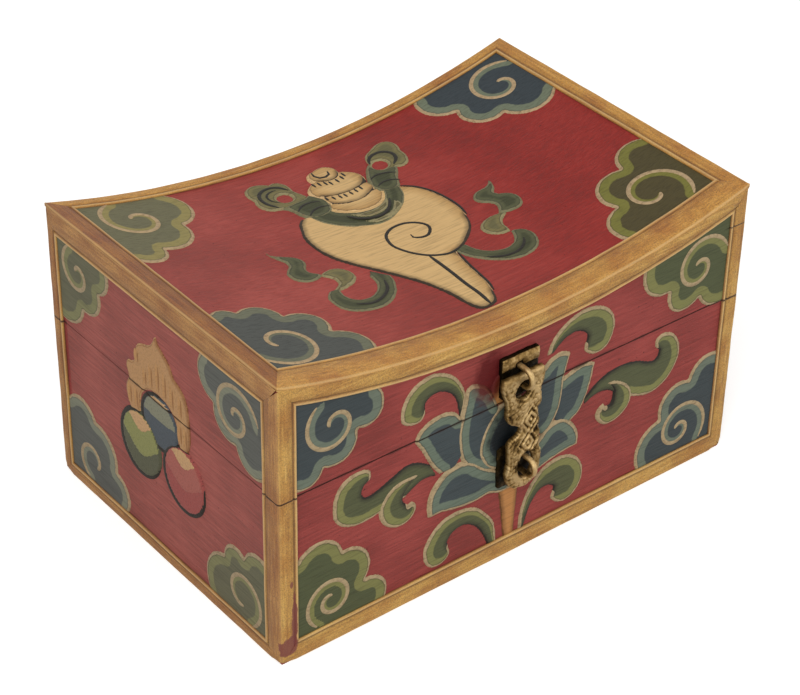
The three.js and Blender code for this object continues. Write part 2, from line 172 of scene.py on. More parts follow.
def wear_seam_and_hasp_shadows(tree, place, colour, most=0.85):
    """Adds the worn places and the hasp's painted shadows, and darkens a ragged band along the case-lid gap."""
    colour = worn_places_and_hasp_shadows(tree, place, colour)
    height = add_node(tree, "SeparateXYZ", {0: place}).outputs["Z"]
    gap = add_node(tree, "Math", {0: height, 1: -(CASE_TOP + LID_BOTTOM) / 2 * MM}, operation="ADD")
    away = add_node(tree, "Math", {0: gap.outputs[0]}, operation="ABSOLUTE")
    ragged = add_node(tree, "TexNoise", {"Vector": place, "Scale": 1 / (5 * MM), "Detail": 4})
    reach = add_node(tree, "MapRange", {"Value": ragged.outputs["Fac"], "From Min": 0.35, "From Max": 0.7,
                                        "To Min": 0.3 * MM, "To Max": 1.1 * MM})
    share = add_node(tree, "MapRange", {"Value": away.outputs[0], "From Min": reach.outputs[0],
                                        "From Max": 0.15 * MM, "To Max": most})
    return add_node(tree, "Mix", {0: share.outputs[0], 6: colour, 7: linear("#2B1712")}, data_type="RGBA").outputs[2]


def brushed_paint(name, axis, shades, far_shades=None, seam=0.85, roughness=0.62, speck_colour="#2A1512"):
    """A matt paint. With two sets of shades it changes from the first, at the left end, to the second."""
    material, tree, shader = new_material(name)
    place = add_node(tree, "TexCoord").outputs["Object"]
    along = add_node(tree, "Mapping", {"Vector": place, "Scale": streak_scale(axis)})
    streaks = add_node(tree, "TexNoise", {"Vector": along.outputs[0], "Scale": 1, "Detail": 5, "Roughness": 0.6})
    patches = add_node(tree, "TexNoise", {"Vector": place, "Scale": 1 / (PATCH * MM), "Detail": 5})
    specks = add_node(tree, "TexNoise", {"Vector": place, "Scale": 1 / (SPECK * MM), "Detail": 3})
    both = add_node(tree, "Math", {0: streaks.outputs["Fac"], 1: patches.outputs["Fac"]}, operation="ADD")
    tone = add_node(tree, "ValToRGB", {"Fac": add_node(
        tree, "Math", {0: both.outputs[0], 1: 0.5}, operation="MULTIPLY").outputs[0]})
    set_stops(tone, [(0.38, shades[0]), (0.5, shades[1]), (0.62, shades[2])])
    paint = tone.outputs[0]
    if far_shades:
        far_tone = add_node(tree, "ValToRGB", {"Fac": tone.inputs[0].links[0].from_socket})
        set_stops(far_tone, [(0.38, far_shades[0]), (0.5, far_shades[1]), (0.62, far_shades[2])])
        across = add_node(tree, "SeparateXYZ", {0: place}).outputs["X"]
        share = add_node(tree, "MapRange", {"Value": across, "From Min": -80 * MM, "From Max": 50 * MM})
        paint = add_node(tree, "Mix", {0: share.outputs[0], 6: paint, 7: far_tone.outputs[0]},
                         data_type="RGBA").outputs[2]
    dots = add_node(tree, "ValToRGB", {"Fac": specks.outputs["Fac"]})
    set_stops(dots, [(0.70, 0.0), (0.76, 0.75)])
    colour = add_node(tree, "Mix", {0: dots.outputs[0], 6: paint, 7: linear(speck_colour)}, data_type="RGBA")
    tree.links.new(wear_seam_and_hasp_shadows(tree, place, colour.outputs[2], seam), shader.inputs["Base Color"])
    shader.inputs["Specular IOR Level"].default_value = 0.2
    shine = add_node(tree, "MapRange", {"Value": streaks.outputs["Fac"], "To Min": roughness - 0.1,
                                        "To Max": roughness + 0.12})
    tree.links.new(shine.outputs[0], shader.inputs["Roughness"])
    bump = add_node(tree, "Bump", {"Height": streaks.outputs["Fac"], "Strength": 1.0, "Distance": 0.5 * MM})
    tree.links.new(bump.outputs[0], shader.inputs["Normal"])
    return material


red_along_x = brushed_paint("red distemper brushed lengthwise", "X", ("#7C342F", "#8D3C37", "#9D4640"))
# The ends' red is paler and greyer than the front's, partly as a painted sheen.
red_along_y = brushed_paint("red distemper brushed across", "Y", ("#7F453E", "#924E46", "#A55B52"), seam=0.35)
# The top's red is painted paler and greyer at the left, as a painted sheen, and deeper at the right.
red_top = brushed_paint("red distemper of the top, with a painted sheen at the left", "X", ("#8C413A", "#9E4A42", "#B0574E"),
                        ("#7F2823", "#942E28", "#A43A33"))
print("red paint:", red_along_x.name)

# %% [markdown]
# ## Ochre gilding on planed softwood
# The mouldings are planed softwood, rubbed with an ochre gold paint that sinks into the grain. The late wood
# shows as long darker lines, the quirk beside the bead is darkened with dirt and painted shade, and the bead's
# crest and the round arris carry a painted highlight.

# %% Gilt wood
GRAIN_LONG = 15.0
GRAIN_WIDE = 0.9


def gilt_wood(name, axis, tones):
    material, tree, shader = new_material(name)
    place = add_node(tree, "TexCoord").outputs["Object"]
    scale = [1 / (GRAIN_LONG * MM) if letter == axis else 1 / (GRAIN_WIDE * MM) for letter in "XYZ"]
    along = add_node(tree, "Mapping", {"Vector": place, "Scale": scale})
    grain = add_node(tree, "TexNoise", {"Vector": along.outputs[0], "Scale": 1, "Detail": 6, "Roughness": 0.62})
    stain = add_node(tree, "TexNoise", {"Vector": place, "Scale": 1 / (16 * MM), "Detail": 6})
    tone = add_node(tree, "ValToRGB", {"Fac": grain.outputs["Fac"]})
    set_stops(tone, list(zip((0.34, 0.45, 0.56, 0.68), tones)))
    dull = add_node(tree, "ValToRGB", {"Fac": stain.outputs["Fac"]})
    set_stops(dull, [(0.42, "#FFFFFF"), (0.64, "#D8BC98")])
    stained = add_node(tree, "Mix", {0: 0.8, 6: tone.outputs[0], 7: dull.outputs[0]},
                       data_type="RGBA", blend_type="MULTIPLY")
    speck = add_node(tree, "TexNoise", {"Vector": place, "Scale": 1 / (0.9 * MM), "Detail": 2})
    dots = add_node(tree, "ValToRGB", {"Fac": speck.outputs["Fac"]})
    set_stops(dots, [(0.69, 0.0), (0.75, 0.8)])
    grit = add_node(tree, "TexNoise", {"Vector": place, "Scale": 1 / (0.45 * MM), "Detail": 3})
    fine = add_node(tree, "ValToRGB", {"Fac": grit.outputs["Fac"]})
    set_stops(fine, [(0.36, 0.66), (0.56, 1.04)])
    gritty = add_node(tree, "Mix", {0: 1, 6: stained.outputs[2], 7: fine.outputs[0]}, data_type="RGBA",
                      blend_type="MULTIPLY")
    dotted = add_node(tree, "Mix", {0: dots.outputs[0], 6: gritty.outputs[2], 7: linear("#4A2F18")},
                      data_type="RGBA")
    # The quirk and the inner edge are darkened with dirt and painted shade.
    dirt = add_node(tree, "Attribute", attribute_name="dirt")
    dirt_and_painted_shade = add_node(tree, "Mix", {0: dirt.outputs["Fac"], 6: dotted.outputs[2], 7: linear("#4A2F1A")},
                     data_type="RGBA")
    # The bead's crest and the arris are lightened by a painted highlight.
    rub = add_node(tree, "Attribute", attribute_name="rub")
    rubbed = add_node(tree, "Mix", {0: rub.outputs["Fac"], 6: dirt_and_painted_shade.outputs[2], 7: linear("#D6B277")},
                      data_type="RGBA")
    tree.links.new(wear_seam_and_hasp_shadows(tree, place, rubbed.outputs[2]), shader.inputs["Base Color"])
    shader.inputs["Roughness"].default_value = 0.5
    rough = add_node(tree, "Math", {0: grain.outputs["Fac"], 1: grit.outputs["Fac"]}, operation="ADD")
    bump = add_node(tree, "Bump", {"Height": rough.outputs[0], "Strength": 0.8, "Distance": 0.3 * MM})
    tree.links.new(bump.outputs[0], shader.inputs["Normal"])
    return material


SIDE_TONES = ("#AD7E3A", "#C09042", "#CB9C4B", "#D7AB5D")
# The ends' gilt is a darker copy of the sides' gilt, a painted shade on the faces that look along the box.
END_SHADED_TONES = ("#95632E", "#A67237", "#B27F40", "#C28F4E")
TOP_TONES = ("#AE7930", "#C58B38", "#D09742", "#DDA753")
gilt = {axis: gilt_wood(f"ochre gilt softwood, grain along {axis}", axis, SIDE_TONES) for axis in "XYZ"}
gilt_end_shaded = {axis: gilt_wood(f"duller gilt of the ends, grain along {axis}", axis, END_SHADED_TONES) for axis in "YZ"}
gilt_worn = gilt_wood("worn brown gilt of the top's left edge", "Y", ("#854D10", "#975A17", "#A3661E", "#B2742C"))
gilt_top = {axis: gilt_wood(f"browner gilt of the top, grain along {axis}", axis, TOP_TONES) for axis in "XY"}
print("gilt:", [m.name for m in gilt.values()])

# %% [markdown]
# ## A finished piece
# Every piece is built in a bmesh and ends the same way: the normals of a closed piece made to point outwards, the
# mesh named, shaded smooth with its sharp edges kept, given its materials, and told which body carries it.

# %% Finish a mesh
def finish_piece(name, bm, materials, body, replaces=(), sharp=35, closed=True):
    if closed:
        bmesh.ops.recalc_face_normals(bm, faces=bm.faces)
    used = sorted({face.material_index for face in bm.faces})
    for face in bm.faces:
        face.material_index = used.index(face.material_index)
    mesh = bpy.data.meshes.new(name)
    bm.to_mesh(mesh)
    bm.free()
    for index in used:
        mesh.materials.append(materials[index])
    for polygon in mesh.polygons:
        polygon.use_smooth = True
    mesh.set_sharp_from_angle(angle=math.radians(sharp))
    piece = bpy.data.objects.new(name, mesh)
    bpy.context.scene.collection.objects.link(piece)
    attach(piece, body)
    if replaces:
        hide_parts(*replaces)
    return piece


def loft(bm, rings):
    """Bridges one closed ring of vertices to the next and closes both ends."""
    edges = []
    for ring in rings:
        edges.append([bm.edges.new((ring[i - 1], ring[i])) for i in range(len(ring))])
    for first, second in zip(edges, edges[1:]):
        bmesh.ops.bridge_loops(bm, edges=first + second)
    bm.faces.new(rings[0])
    bm.faces.new(rings[-1])


# %% [markdown]
# ## The mouldings
# Each edge of the box carries a flat gilt band with a thin round bead against the painted field, and a shallow
# groove between the two, darkened with dirt and painted shade. It is one section, drawn once and lofted along each
# edge. The widths differ from edge to edge, so they are read from the frame. The ends are mitred: the beads run on
# round a field.

# %% Widths and section
LEG_LONG = HALF_LENGTH + node_box("case_front_left_corner_strip")[1].x
LEG_FRONT = HALF_DEPTH + node_box("case_front_left_corner_strip")[1].y
LEG_BACK = HALF_DEPTH - node_box("case_back_left_corner_strip")[0].y
BOTTOM_LONG = node_box("case_front_bottom_strip")[1].z
BOTTOM_END = node_box("case_left_bottom_strip")[1].z
EDGE_LONG = TOP_Z - DISH - STRIP - GLUE - node_box("lid_front_edge_strip")[0].z
EDGE_END = arch(BOARD_X) - STRIP - GLUE - node_box("lid_left_edge_strip")[0].z
TOP_LEFT = HALF_LENGTH + node_box("top_left_strip")[1].x
TOP_RIGHT = HALF_LENGTH - node_box("top_right_strip")[0].x
TOP_FRONT = HALF_DEPTH + node_box("top_front_strip")[1].y
TOP_BACK = HALF_DEPTH - node_box("top_back_strip")[0].y
BAND_DROP = 0.15
ARRIS = 1.3
FOOT_ROUND = 3.2
FOOT_HEIGHT = 7
SOFT_EDGE = 1.1


def band_and_bead(width, thickness):
    """Band, groove and bead as (distance from arris, height below outer plane, dirt and painted shade, painted
    highlight).
    """
    middle = (width - 1) / 2
    points = [(middle, -BAND_DROP, 0, 0), (width - 2.1, -BAND_DROP, 0.1, 0), (width - 1.65, -0.5, 0.6, 0),
              (width - 1.3, -0.5, 0.55, 0)]
    points += [(width - 1.08, -0.24, 0.15, 0.1), (width - 0.86, -0.07, 0, 0.45), (width - 0.55, 0, 0, 0.75),
               (width - 0.25, -0.1, 0, 0.4), (width - 0.05, -0.4, 0, 0.1)]
    return points + [(width, -thickness, 0.75, 0)]


def face_section(width, thickness, radius):
    """The whole section: a rounded arris, then the band and the bead."""
    points = [(0, -thickness, 0, 0)]
    for step in range(6):
        angle = math.pi / 2 * step / 5
        height = -BAND_DROP - radius * (1 - math.sin(angle))
        # The last value is a painted highlight along the round arris.
        points.append((radius * (1 - math.cos(angle)), height, 0, 0.55 * math.sin(2 * angle)))
    return points + band_and_bead(width, thickness)


print("widths:", [round(w, 1) for w in (LEG_LONG, LEG_FRONT, LEG_BACK, EDGE_LONG, EDGE_END, TOP_FRONT, TOP_BACK)])

# %% [markdown]
# The strips lie on four faces and on the dished top. Each is the same loft with another way of placing a point,
# given the share of the way along (from -1 to 1), the distance from the arris and the height. A little
# unevenness is added to the height, as hand tools leave it, and the upright arrises are worn round.

# %% Loft one moulding
from mathutils import noise

UNEVEN = 0.12


def uneven(point):
    """A small inward unevenness, in millimetres, that varies over about a centimetre."""
    return UNEVEN * (noise.noise(Vector(point) / 9.0) - 1)


def soften(point):
    """Keeps a point inside the plan's rounded corners, and inside the rounded edge at the foot."""
    x, y, z = point
    sink = max(SOFT_EDGE - z, 0)
    shrink = SOFT_EDGE - math.sqrt(SOFT_EDGE**2 - sink**2)
    arris = ARRIS + FOOT_ROUND * max(1 - z / FOOT_HEIGHT, 0) ** 2
    core_x = HALF_LENGTH - shrink - arris
    core_y = HALF_DEPTH - shrink - arris
    over_x = abs(x) - core_x
    over_y = abs(y) - core_y
    reach = math.hypot(over_x, over_y)
    if over_x > 0 and over_y > 0 and reach > arris:
        x = math.copysign(core_x + over_x * arris / reach, x)
        y = math.copysign(core_y + over_y * arris / reach, y)
    return Vector((x, y, z))


def lerp(share, low, high):
    """A place between two limits, for a share that runs from -1 to 1."""
    return low + (share + 1) / 2 * (high - low)


def moulding(name, nodes, body, section, stations, place, materials):
    """Lofts a section. A second material is for the faces that look along the box."""
    bm = bmesh.new()
    # The two layers hold the dirt and painted shade of the quirk, and the painted highlight of the crest.
    layers = [bm.verts.layers.float.new(layer) for layer in ("dirt", "rub")]
    rings = []
    for share in stations:
        ring = []
        for first, second, *paint in section:
            vert = bm.verts.new(soften(place(share, first, second)) * MM)
            for layer, value in zip(layers, paint):
                vert[layer] = value
            ring.append(vert)
        rings.append(ring)
    loft(bm, rings)
    bmesh.ops.recalc_face_normals(bm, faces=bm.faces)
    for face in bm.faces:
        face.material_index = len(materials) - 1 if abs(face.normal.x) > abs(face.normal.y) else 0
    return finish_piece(name, bm, materials, body, nodes, sharp=60)


def even_stations(count):
    return [2 * i / count - 1 for i in range(count + 1)]


# %% Strips on the four faces and on the top
def add_long_face_strips(face, sign):
    def on_bottom(share, d, h):
        reach = HALF_LENGTH - d * LEG_LONG / BOTTOM_LONG
        x = share * reach
        return (x, sign * (HALF_DEPTH + h + uneven((x, sign * HALF_DEPTH, d))), d)

    def on_edge(share, d, h):
        x = share * (HALF_LENGTH - d * LEG_LONG / EDGE_LONG)
        z = arch(x) - STRIP - GLUE - d
        return (x, sign * (HALF_DEPTH + h + uneven((x, sign * HALF_DEPTH, z))), z)

    moulding(f"{face}_bottom_moulding", [f"case_{face}_bottom_strip"], "case",
             face_section(BOTTOM_LONG, STRIP - UNEVEN * 2, SOFT_EDGE - 0.2), even_stations(32), on_bottom, [gilt["X"]])
    moulding(f"{face}_edge_moulding", [f"lid_{face}_edge_strip"], "lid",
             face_section(EDGE_LONG, STRIP - UNEVEN * 2, 0.3), even_stations(48), on_edge, [gilt["X"]])


def add_end_face_strips(face, sign):
    def across(share, d, width):
        front = -HALF_DEPTH + d * LEG_FRONT / width
        back = HALF_DEPTH - d * LEG_BACK / width
        return lerp(share, front, back)

    def on_bottom(share, d, h):
        y = across(share, d, BOTTOM_END)
        return (sign * (HALF_LENGTH + h + uneven((sign * HALF_LENGTH, y, d))), y, d)

    def on_edge(share, d, h):
        y = across(share, d, EDGE_END)
        y = min(max(y, -BOARD_Y), BOARD_Y)
        z = arch(BOARD_X) - STRIP - GLUE - d
        return (sign * (HALF_LENGTH + h + uneven((sign * HALF_LENGTH, y, z))), y, z)

    moulding(f"{face}_bottom_moulding", [f"case_{face}_bottom_strip"], "case",
             face_section(BOTTOM_END, STRIP - UNEVEN * 2, SOFT_EDGE - 0.2), even_stations(24), on_bottom, [gilt_end_shaded["Y"]])
    moulding(f"{face}_edge_moulding", [f"lid_{face}_edge_strip"], "lid",
             face_section(EDGE_END, STRIP - UNEVEN * 2, 0.3), even_stations(24), on_edge, [gilt_end_shaded["Y"]])


def add_long_top_strip(face, sign, width):
    def place(share, d, h):
        x = lerp(share, -HALF_LENGTH + d * TOP_LEFT / width, HALF_LENGTH - d * TOP_RIGHT / width)
        y = sign * (HALF_DEPTH - d)
        return (x, y, arch(x) + h + uneven((x, y, TOP_Z)))

    moulding(f"top_{face}_moulding", [f"top_{face}_strip"], "lid", face_section(width, STRIP - UNEVEN * 2, 0.9),
             even_stations(60), place, [gilt_top["X"]])


def add_end_top_strip(face, sign, width):
    def place(share, d, h):
        x = sign * (HALF_LENGTH - d)
        y = lerp(share, -HALF_DEPTH + d * TOP_FRONT / width, HALF_DEPTH - d * TOP_BACK / width)
        return (x, y, arch(x) + h + uneven((x, y, TOP_Z)))

    moulding(f"top_{face}_moulding", [f"top_{face}_strip"], "lid", face_section(width, STRIP - UNEVEN * 2, 0.9),
             even_stations(32), place, [gilt_worn if sign < 0 else gilt_top["Y"]])


add_long_face_strips("front", -1)
add_long_face_strips("back", 1)
add_end_face_strips("left", -1)
add_end_face_strips("right", 1)
add_long_top_strip("front", -1, TOP_FRONT)
add_long_top_strip("back", 1, TOP_BACK)
add_end_top_strip("left", -1, TOP_LEFT)
add_end_top_strip("right", 1, TOP_RIGHT)
print("mouldings on the faces and the top: 12")

# %% [markdown]
# The upright mouldings wrap the corners. Their section is the same band and bead on both faces, joined by a
# round arris, so it is drawn in plan and lofted upwards. Both ends follow the mitres of their neighbours.

# %% Corner mouldings
def corner_section(end_leg):
    """Points in plan as (distance from end face, distance from long face, dirt and painted shade, painted highlight).
    """
    long_face = [(d, -h, dirt, rub) for d, h, dirt, rub in reversed(band_and_bead(LEG_LONG, STRIP - UNEVEN * 2))]
    end_face = [(-h, d, dirt, rub) for d, h, dirt, rub in band_and_bead(end_leg, STRIP - UNEVEN * 2)]
    arc = []
    for step in range(9):
        angle = math.pi / 2 * step / 8
        # A faint painted highlight along the round arris.
        rub = 0.15 * math.sin(2 * angle)
        arc.append((BAND_DROP + ARRIS * (1 - math.sin(angle)), BAND_DROP + ARRIS * (1 - math.cos(angle)), 0, rub))
    return long_face + arc + end_face + [(STRIP, STRIP, 0, 0)]


def mitre_end(a, b, long_width, end_leg, end_width):
    """How far a mitred end stands back, from the leg that the point lies on."""
    return max(a * long_width / LEG_LONG if b <= ARRIS else 0, b * end_width / end_leg if a <= ARRIS else 0)


def add_corner_mouldings(corner, end_x, end_y):
    end_leg = LEG_FRONT if end_y < 0 else LEG_BACK

    def worn(a, b, z):
        shift = -uneven((end_x * HALF_LENGTH, end_y * HALF_DEPTH, z))
        return (end_x * (HALF_LENGTH - a - shift * (a <= ARRIS)), end_y * (HALF_DEPTH - b - shift * (b <= ARRIS)), z)

    def on_case(share, a, b):
        low = mitre_end(a, b, BOTTOM_LONG, end_leg, BOTTOM_END)
        return worn(a, b, lerp(share, low, CASE_TOP))

    def on_lid(share, a, b):
        drop = mitre_end(a, b, EDGE_LONG, end_leg, EDGE_END)
        top = arch(min(HALF_LENGTH - a, BOARD_X)) - STRIP - 2 * GLUE - drop
        return worn(a, b, lerp(share, LID_BOTTOM, top))

    section = corner_section(end_leg)
    # The end-facing side of each corner moulding takes the gilt darkened as painted shade.
    for body, place, count in (("case", on_case, 20), ("lid", on_lid, 14)):
        moulding(f"{body}_{corner}_corner_moulding", [f"{body}_{corner}_corner_strip"], body, section,
                 even_stations(count), place, [gilt["Z"], gilt_end_shaded["Z"]])


for corner, end_x, end_y in (("front_left", -1, -1), ("front_right", 1, -1),
                             ("back_left", -1, 1), ("back_right", 1, 1)):
    add_corner_mouldings(corner, end_x, end_y)
print("corner mouldings: 8")

# %% [markdown]
# ## The boards
# The boards are flat and keep their own solids: they only need paint. The dished top board is drawn again as a
# smooth arc, because the construction model cuts it into straight facets.

# %% Paint the boards and make the dished board
for node in ("case_front_board", "case_back_board", "lid_front_board", "lid_back_board", "base_board"):
    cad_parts[node].data.materials.clear()
    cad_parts[node].data.materials.append(red_along_x)
for node in ("case_left_board", "case_right_board", "lid_left_board", "lid_right_board"):
    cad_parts[node].data.materials.clear()
    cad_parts[node].data.materials.append(red_along_y)

TOP_BOARD = 8


def add_top_board():
    bm = bmesh.new()
    rings = []
    for share in even_stations(48):
        x = share * BOARD_X
        z = arch(x) - STRIP - GLUE
        corners = [(-BOARD_Y, z - TOP_BOARD), (BOARD_Y, z - TOP_BOARD), (BOARD_Y, z), (-BOARD_Y, z)]
        rings.append([bm.verts.new(Vector((x, y, height)) * MM) for y, height in corners])
    loft(bm, rings)
    return finish_piece("dished_top_board", bm, [red_top], "lid", ["lid_top_board"])


print("top board:", add_top_board().name)
# %% [markdown]
# ## Carved and painted ornament
# The ornament is low relief, cut into the boards and painted. Each motif is described by its outline, drawn as a
# chain of edges. A rim edge carries the pale outline, with a light band inside it and a dark core. An inked edge
# is the shaded side of a leaf. A plain edge is hidden under another motif or under a moulding.
# The motif becomes a small patch of fine mesh. Each vertex keeps its distance from the rim and from the ink, so
# the paint follows the shape exactly, and the patch sinks into the board just outside its outline.

# %% Lines and distances
FAR = 99.0


def smooth(points, gap=1.3):
    """A curve through the points, sampled about every gap millimetres."""
    line = [Vector(point) for point in points]
    line = [2 * line[0] - line[1], *line, 2 * line[-1] - line[-2]]
    curve = []
    for before, start, end, after in zip(line, line[1:], line[2:], line[3:]):
        steps = max(int((end - start).length / gap), 1)
        for step in range(steps):
            t = step / steps
            bend = (2 * before - 5 * start + 4 * end - after) * t * t
            curve.append((2 * start + (end - before) * t + bend + (3 * start - before - 3 * end + after) * t**3) / 2)
    return [tuple(point) for point in (*curve, line[-2])]


def segments(line):
    """The pieces of a line, as (x, y, dx, dy, length squared)."""
    pieces = []
    for (ax, ay), (bx, by) in zip(line, line[1:]):
        size = (bx - ax) ** 2 + (by - ay) ** 2
        if size > 1e-9:
            pieces.append((ax, ay, bx - ax, by - ay, size))
    return pieces


def distance(x, y, pieces):
    nearest = FAR**2
    for ax, ay, dx, dy, size in pieces:
        t = min(max(((x - ax) * dx + (y - ay) * dy) / size, 0), 1)
        nearest = min(nearest, (ax + t * dx - x) ** 2 + (ay + t * dy - y) ** 2)
    return math.sqrt(nearest)


def inside(x, y, pieces):
    odd = False
    for ax, ay, dx, dy, _ in pieces:
        if (ay > y) != (ay + dy > y) and x < ax + (y - ay) * dx / dy:
            odd = not odd
    return odd


# %% Edges of leaves and petals, clouds and spirals
def rim(*points):
    return ("rim", smooth(points))


def ink(*points):
    return ("ink", smooth(points))


def plain(*points):
    return ("plain", list(points))


def lobe(start, end, bulge, middle):
    """A round lobe between two points, swelling away from the middle."""
    start, end = Vector(start), Vector(end)
    chord = end - start
    along = chord.normalized()
    out = Vector((-along.y, along.x))
    if out.dot((start + end) / 2 - Vector(middle)) < 0:
        out = -out
    radius = (chord.length**2 / 4 + bulge**2) / (2 * bulge)
    reach = 2 * math.atan(2 * bulge / chord.length)
    centre = (start + end) / 2 - out * (radius - bulge)
    steps = max(int(radius * reach * 2 / 1.3), 4)
    points = []
    for step in range(steps + 1):
        angle = reach * (2 * step / steps - 1)
        points.append(tuple(centre + radius * (out * math.cos(angle) + along * math.sin(angle))))
    return points


def cloud(knots, bulges, corner):
    """A cloud in a corner. The knots run from the level border to the upright one, measured from the corner."""
    edges = []
    for start, end, bulge in zip(knots, knots[1:], bulges):
        edges.append(("rim", [corner(*point) for point in lobe(start, end, bulge, (0, 0))]))
    wide, high = knots[0][0], knots[-1][1]
    edges.append(plain(corner(-0.6, high), corner(-0.6, -0.6), corner(wide, -0.6)))
    return edges


def spiral(centre, start, end, outer, inner, power=1.0):
    """A spiral from its outer end inwards, with angles in degrees and radii in millimetres."""
    steps = 44
    points = []
    for step in range(steps + 1):
        t = step / steps
        angle = math.radians(start + (end - start) * t)
        radius = inner + (outer - inner) * (1 - t) ** power
        points.append((centre[0] + radius * math.cos(angle), centre[1] + radius * math.sin(angle)))
    return points


# %% [markdown]
# A spiral on a cloud is a raised pale line. The light band lies on its inner side and fades out towards the
# middle, so the patch also keeps the distance from that side of the spiral, as a share of the band's width.

# %% Patches of relief
CELL = 0.75
RISE = 0.45
SHOULDER = 0.8
SPIRAL_BAND = 2.6


def beside_spiral(x, y, line, centre):
    """How far into the spiral's light band a point lies: under 1 is inside it."""
    best = (FAR, 0)
    for index, (px, py) in enumerate(line):
        gap = math.hypot(px - x, py - y)
        if gap < best[0]:
            best = (gap, index)
    gap, index = best
    px, py = line[index]
    if math.hypot(x - centre[0], y - centre[1]) > math.hypot(px - centre[0], py - centre[1]):
        return 3.0
    return min(gap / (0.6 + SPIRAL_BAND * (1 - index / (len(line) - 1)) ** 0.6), 3.0)


def relief_mesh():
    bm = bmesh.new()
    for name in ("rim_gap", "ink_gap", "spiral_gap"):
        bm.verts.layers.float.new(name)
    return bm


def paint_vert(bm, vert, rim_gap, ink_gap, spiral_gap):
    layers = bm.verts.layers.float
    vert[layers["rim_gap"]] = rim_gap
    vert[layers["ink_gap"]] = ink_gap
    vert[layers["spiral_gap"]] = spiral_gap


def add_motif(bm, place, edges, finish, lift=0.0, swirl=None, hole=None, rise=RISE):
    """Adds one motif. The edges follow one another round it; place turns (u, v, height) into a position."""
    chain = [point for _, points in edges for point in points]
    outline = segments([*chain, chain[0]])
    rims = [piece for kind, points in edges if kind == "rim" for piece in segments(points)]
    inks = [piece for kind, points in edges if kind == "ink" for piece in segments(points)]
    if hole:
        opening = segments([*hole, hole[0]])
        outline += opening
        rims += opening
    dense = None
    if swirl:
        dense = [point for pair in zip(swirl[1], swirl[1][1:]) for point in
                 (pair[0], tuple((Vector(pair[0]) + Vector(pair[1])) / 2))]
    low_u = min(u for u, _ in chain) - 1
    low_v = min(v for _, v in chain) - 1
    columns = int((max(u for u, _ in chain) + 1 - low_u) / CELL) + 1
    rows = int((max(v for _, v in chain) + 1 - low_v) / CELL) + 1
    verts = {}
    for column in range(columns + 1):
        for row in range(rows + 1):
            u, v = low_u + column * CELL, low_v + row * CELL
            depth = distance(u, v, outline) * (1 if inside(u, v, outline) else -1)
            if depth < -1.1:
                continue
            height = lift + (2.2 * depth if depth < 0 else rise * min(depth / SHOULDER, 1))
            vert = bm.verts.new(Vector(place(u, v, height + 0.05)) * MM)
            around = beside_spiral(u, v, dense, swirl[0]) if dense and depth > -0.2 else 3.0
            paint_vert(bm, vert, distance(u, v, rims), distance(u, v, inks), around)
            verts[column, row] = vert
    for column, row in verts:
        ring = [verts.get(key) for key in ((column, row), (column + 1, row), (column + 1, row + 1), (column, row + 1))]
        if all(ring):
            bm.faces.new(ring).material_index = finish


def add_ridge(bm, place, line, finish, base, width=1.8, rise=0.35, gaps=(0.4, FAR)):
    """A raised line, rounded across and tapered at both ends."""
    section = ((-0.5, -0.15), (-0.32, 0.6), (0, 1), (0.32, 0.6), (0.5, -0.15))
    rows = []
    for index, point in enumerate(line):
        ahead = Vector(line[min(index + 1, len(line) - 1)]) - Vector(line[max(index - 1, 0)])
        across = Vector((-ahead.y, ahead.x)).normalized()
        end = min(index, len(line) - 1 - index)
        taper = 0.35 + 0.65 * min(end / 3, 1) ** 0.5
        row = []
        for side, height in section:
            u, v = Vector(point) + across * side * width * taper
            vert = bm.verts.new(Vector(place(u, v, base + rise * height * taper)) * MM)
            paint_vert(bm, vert, *gaps, 3.0)
            row.append(vert)
        rows.append(row)
    for first, second in zip(rows, rows[1:]):
        for side in range(len(section) - 1):
            ring = (first[side], second[side], second[side + 1], first[side + 1])
            bm.faces.new(ring).material_index = finish


# %% [markdown]
# ## The painter's colours
# One recipe serves every painted motif: a pale rim with a thin dark line of dirt and painted shade at its foot,
# a light band, a dark core, and ink along the shaded edge. The borders wander by a fraction of a millimetre, as a
# brush does, and the rim stands a little proud of the rest.

# %% Painted relief
def mask(tree, value, start, end):
    """A soft step between two distances in millimetres: 0 before the first and 1 after the second."""
    return add_node(tree, "MapRange", {"Value": value, "From Min": start, "From Max": end}).outputs[0]


def blend(tree, factor, first, second, kind="MIX"):
    inputs = {0: factor, 6: first, 7: second}
    return add_node(tree, "Mix", inputs, data_type="RGBA", blend_type=kind).outputs[2]


INK = "#29251E"


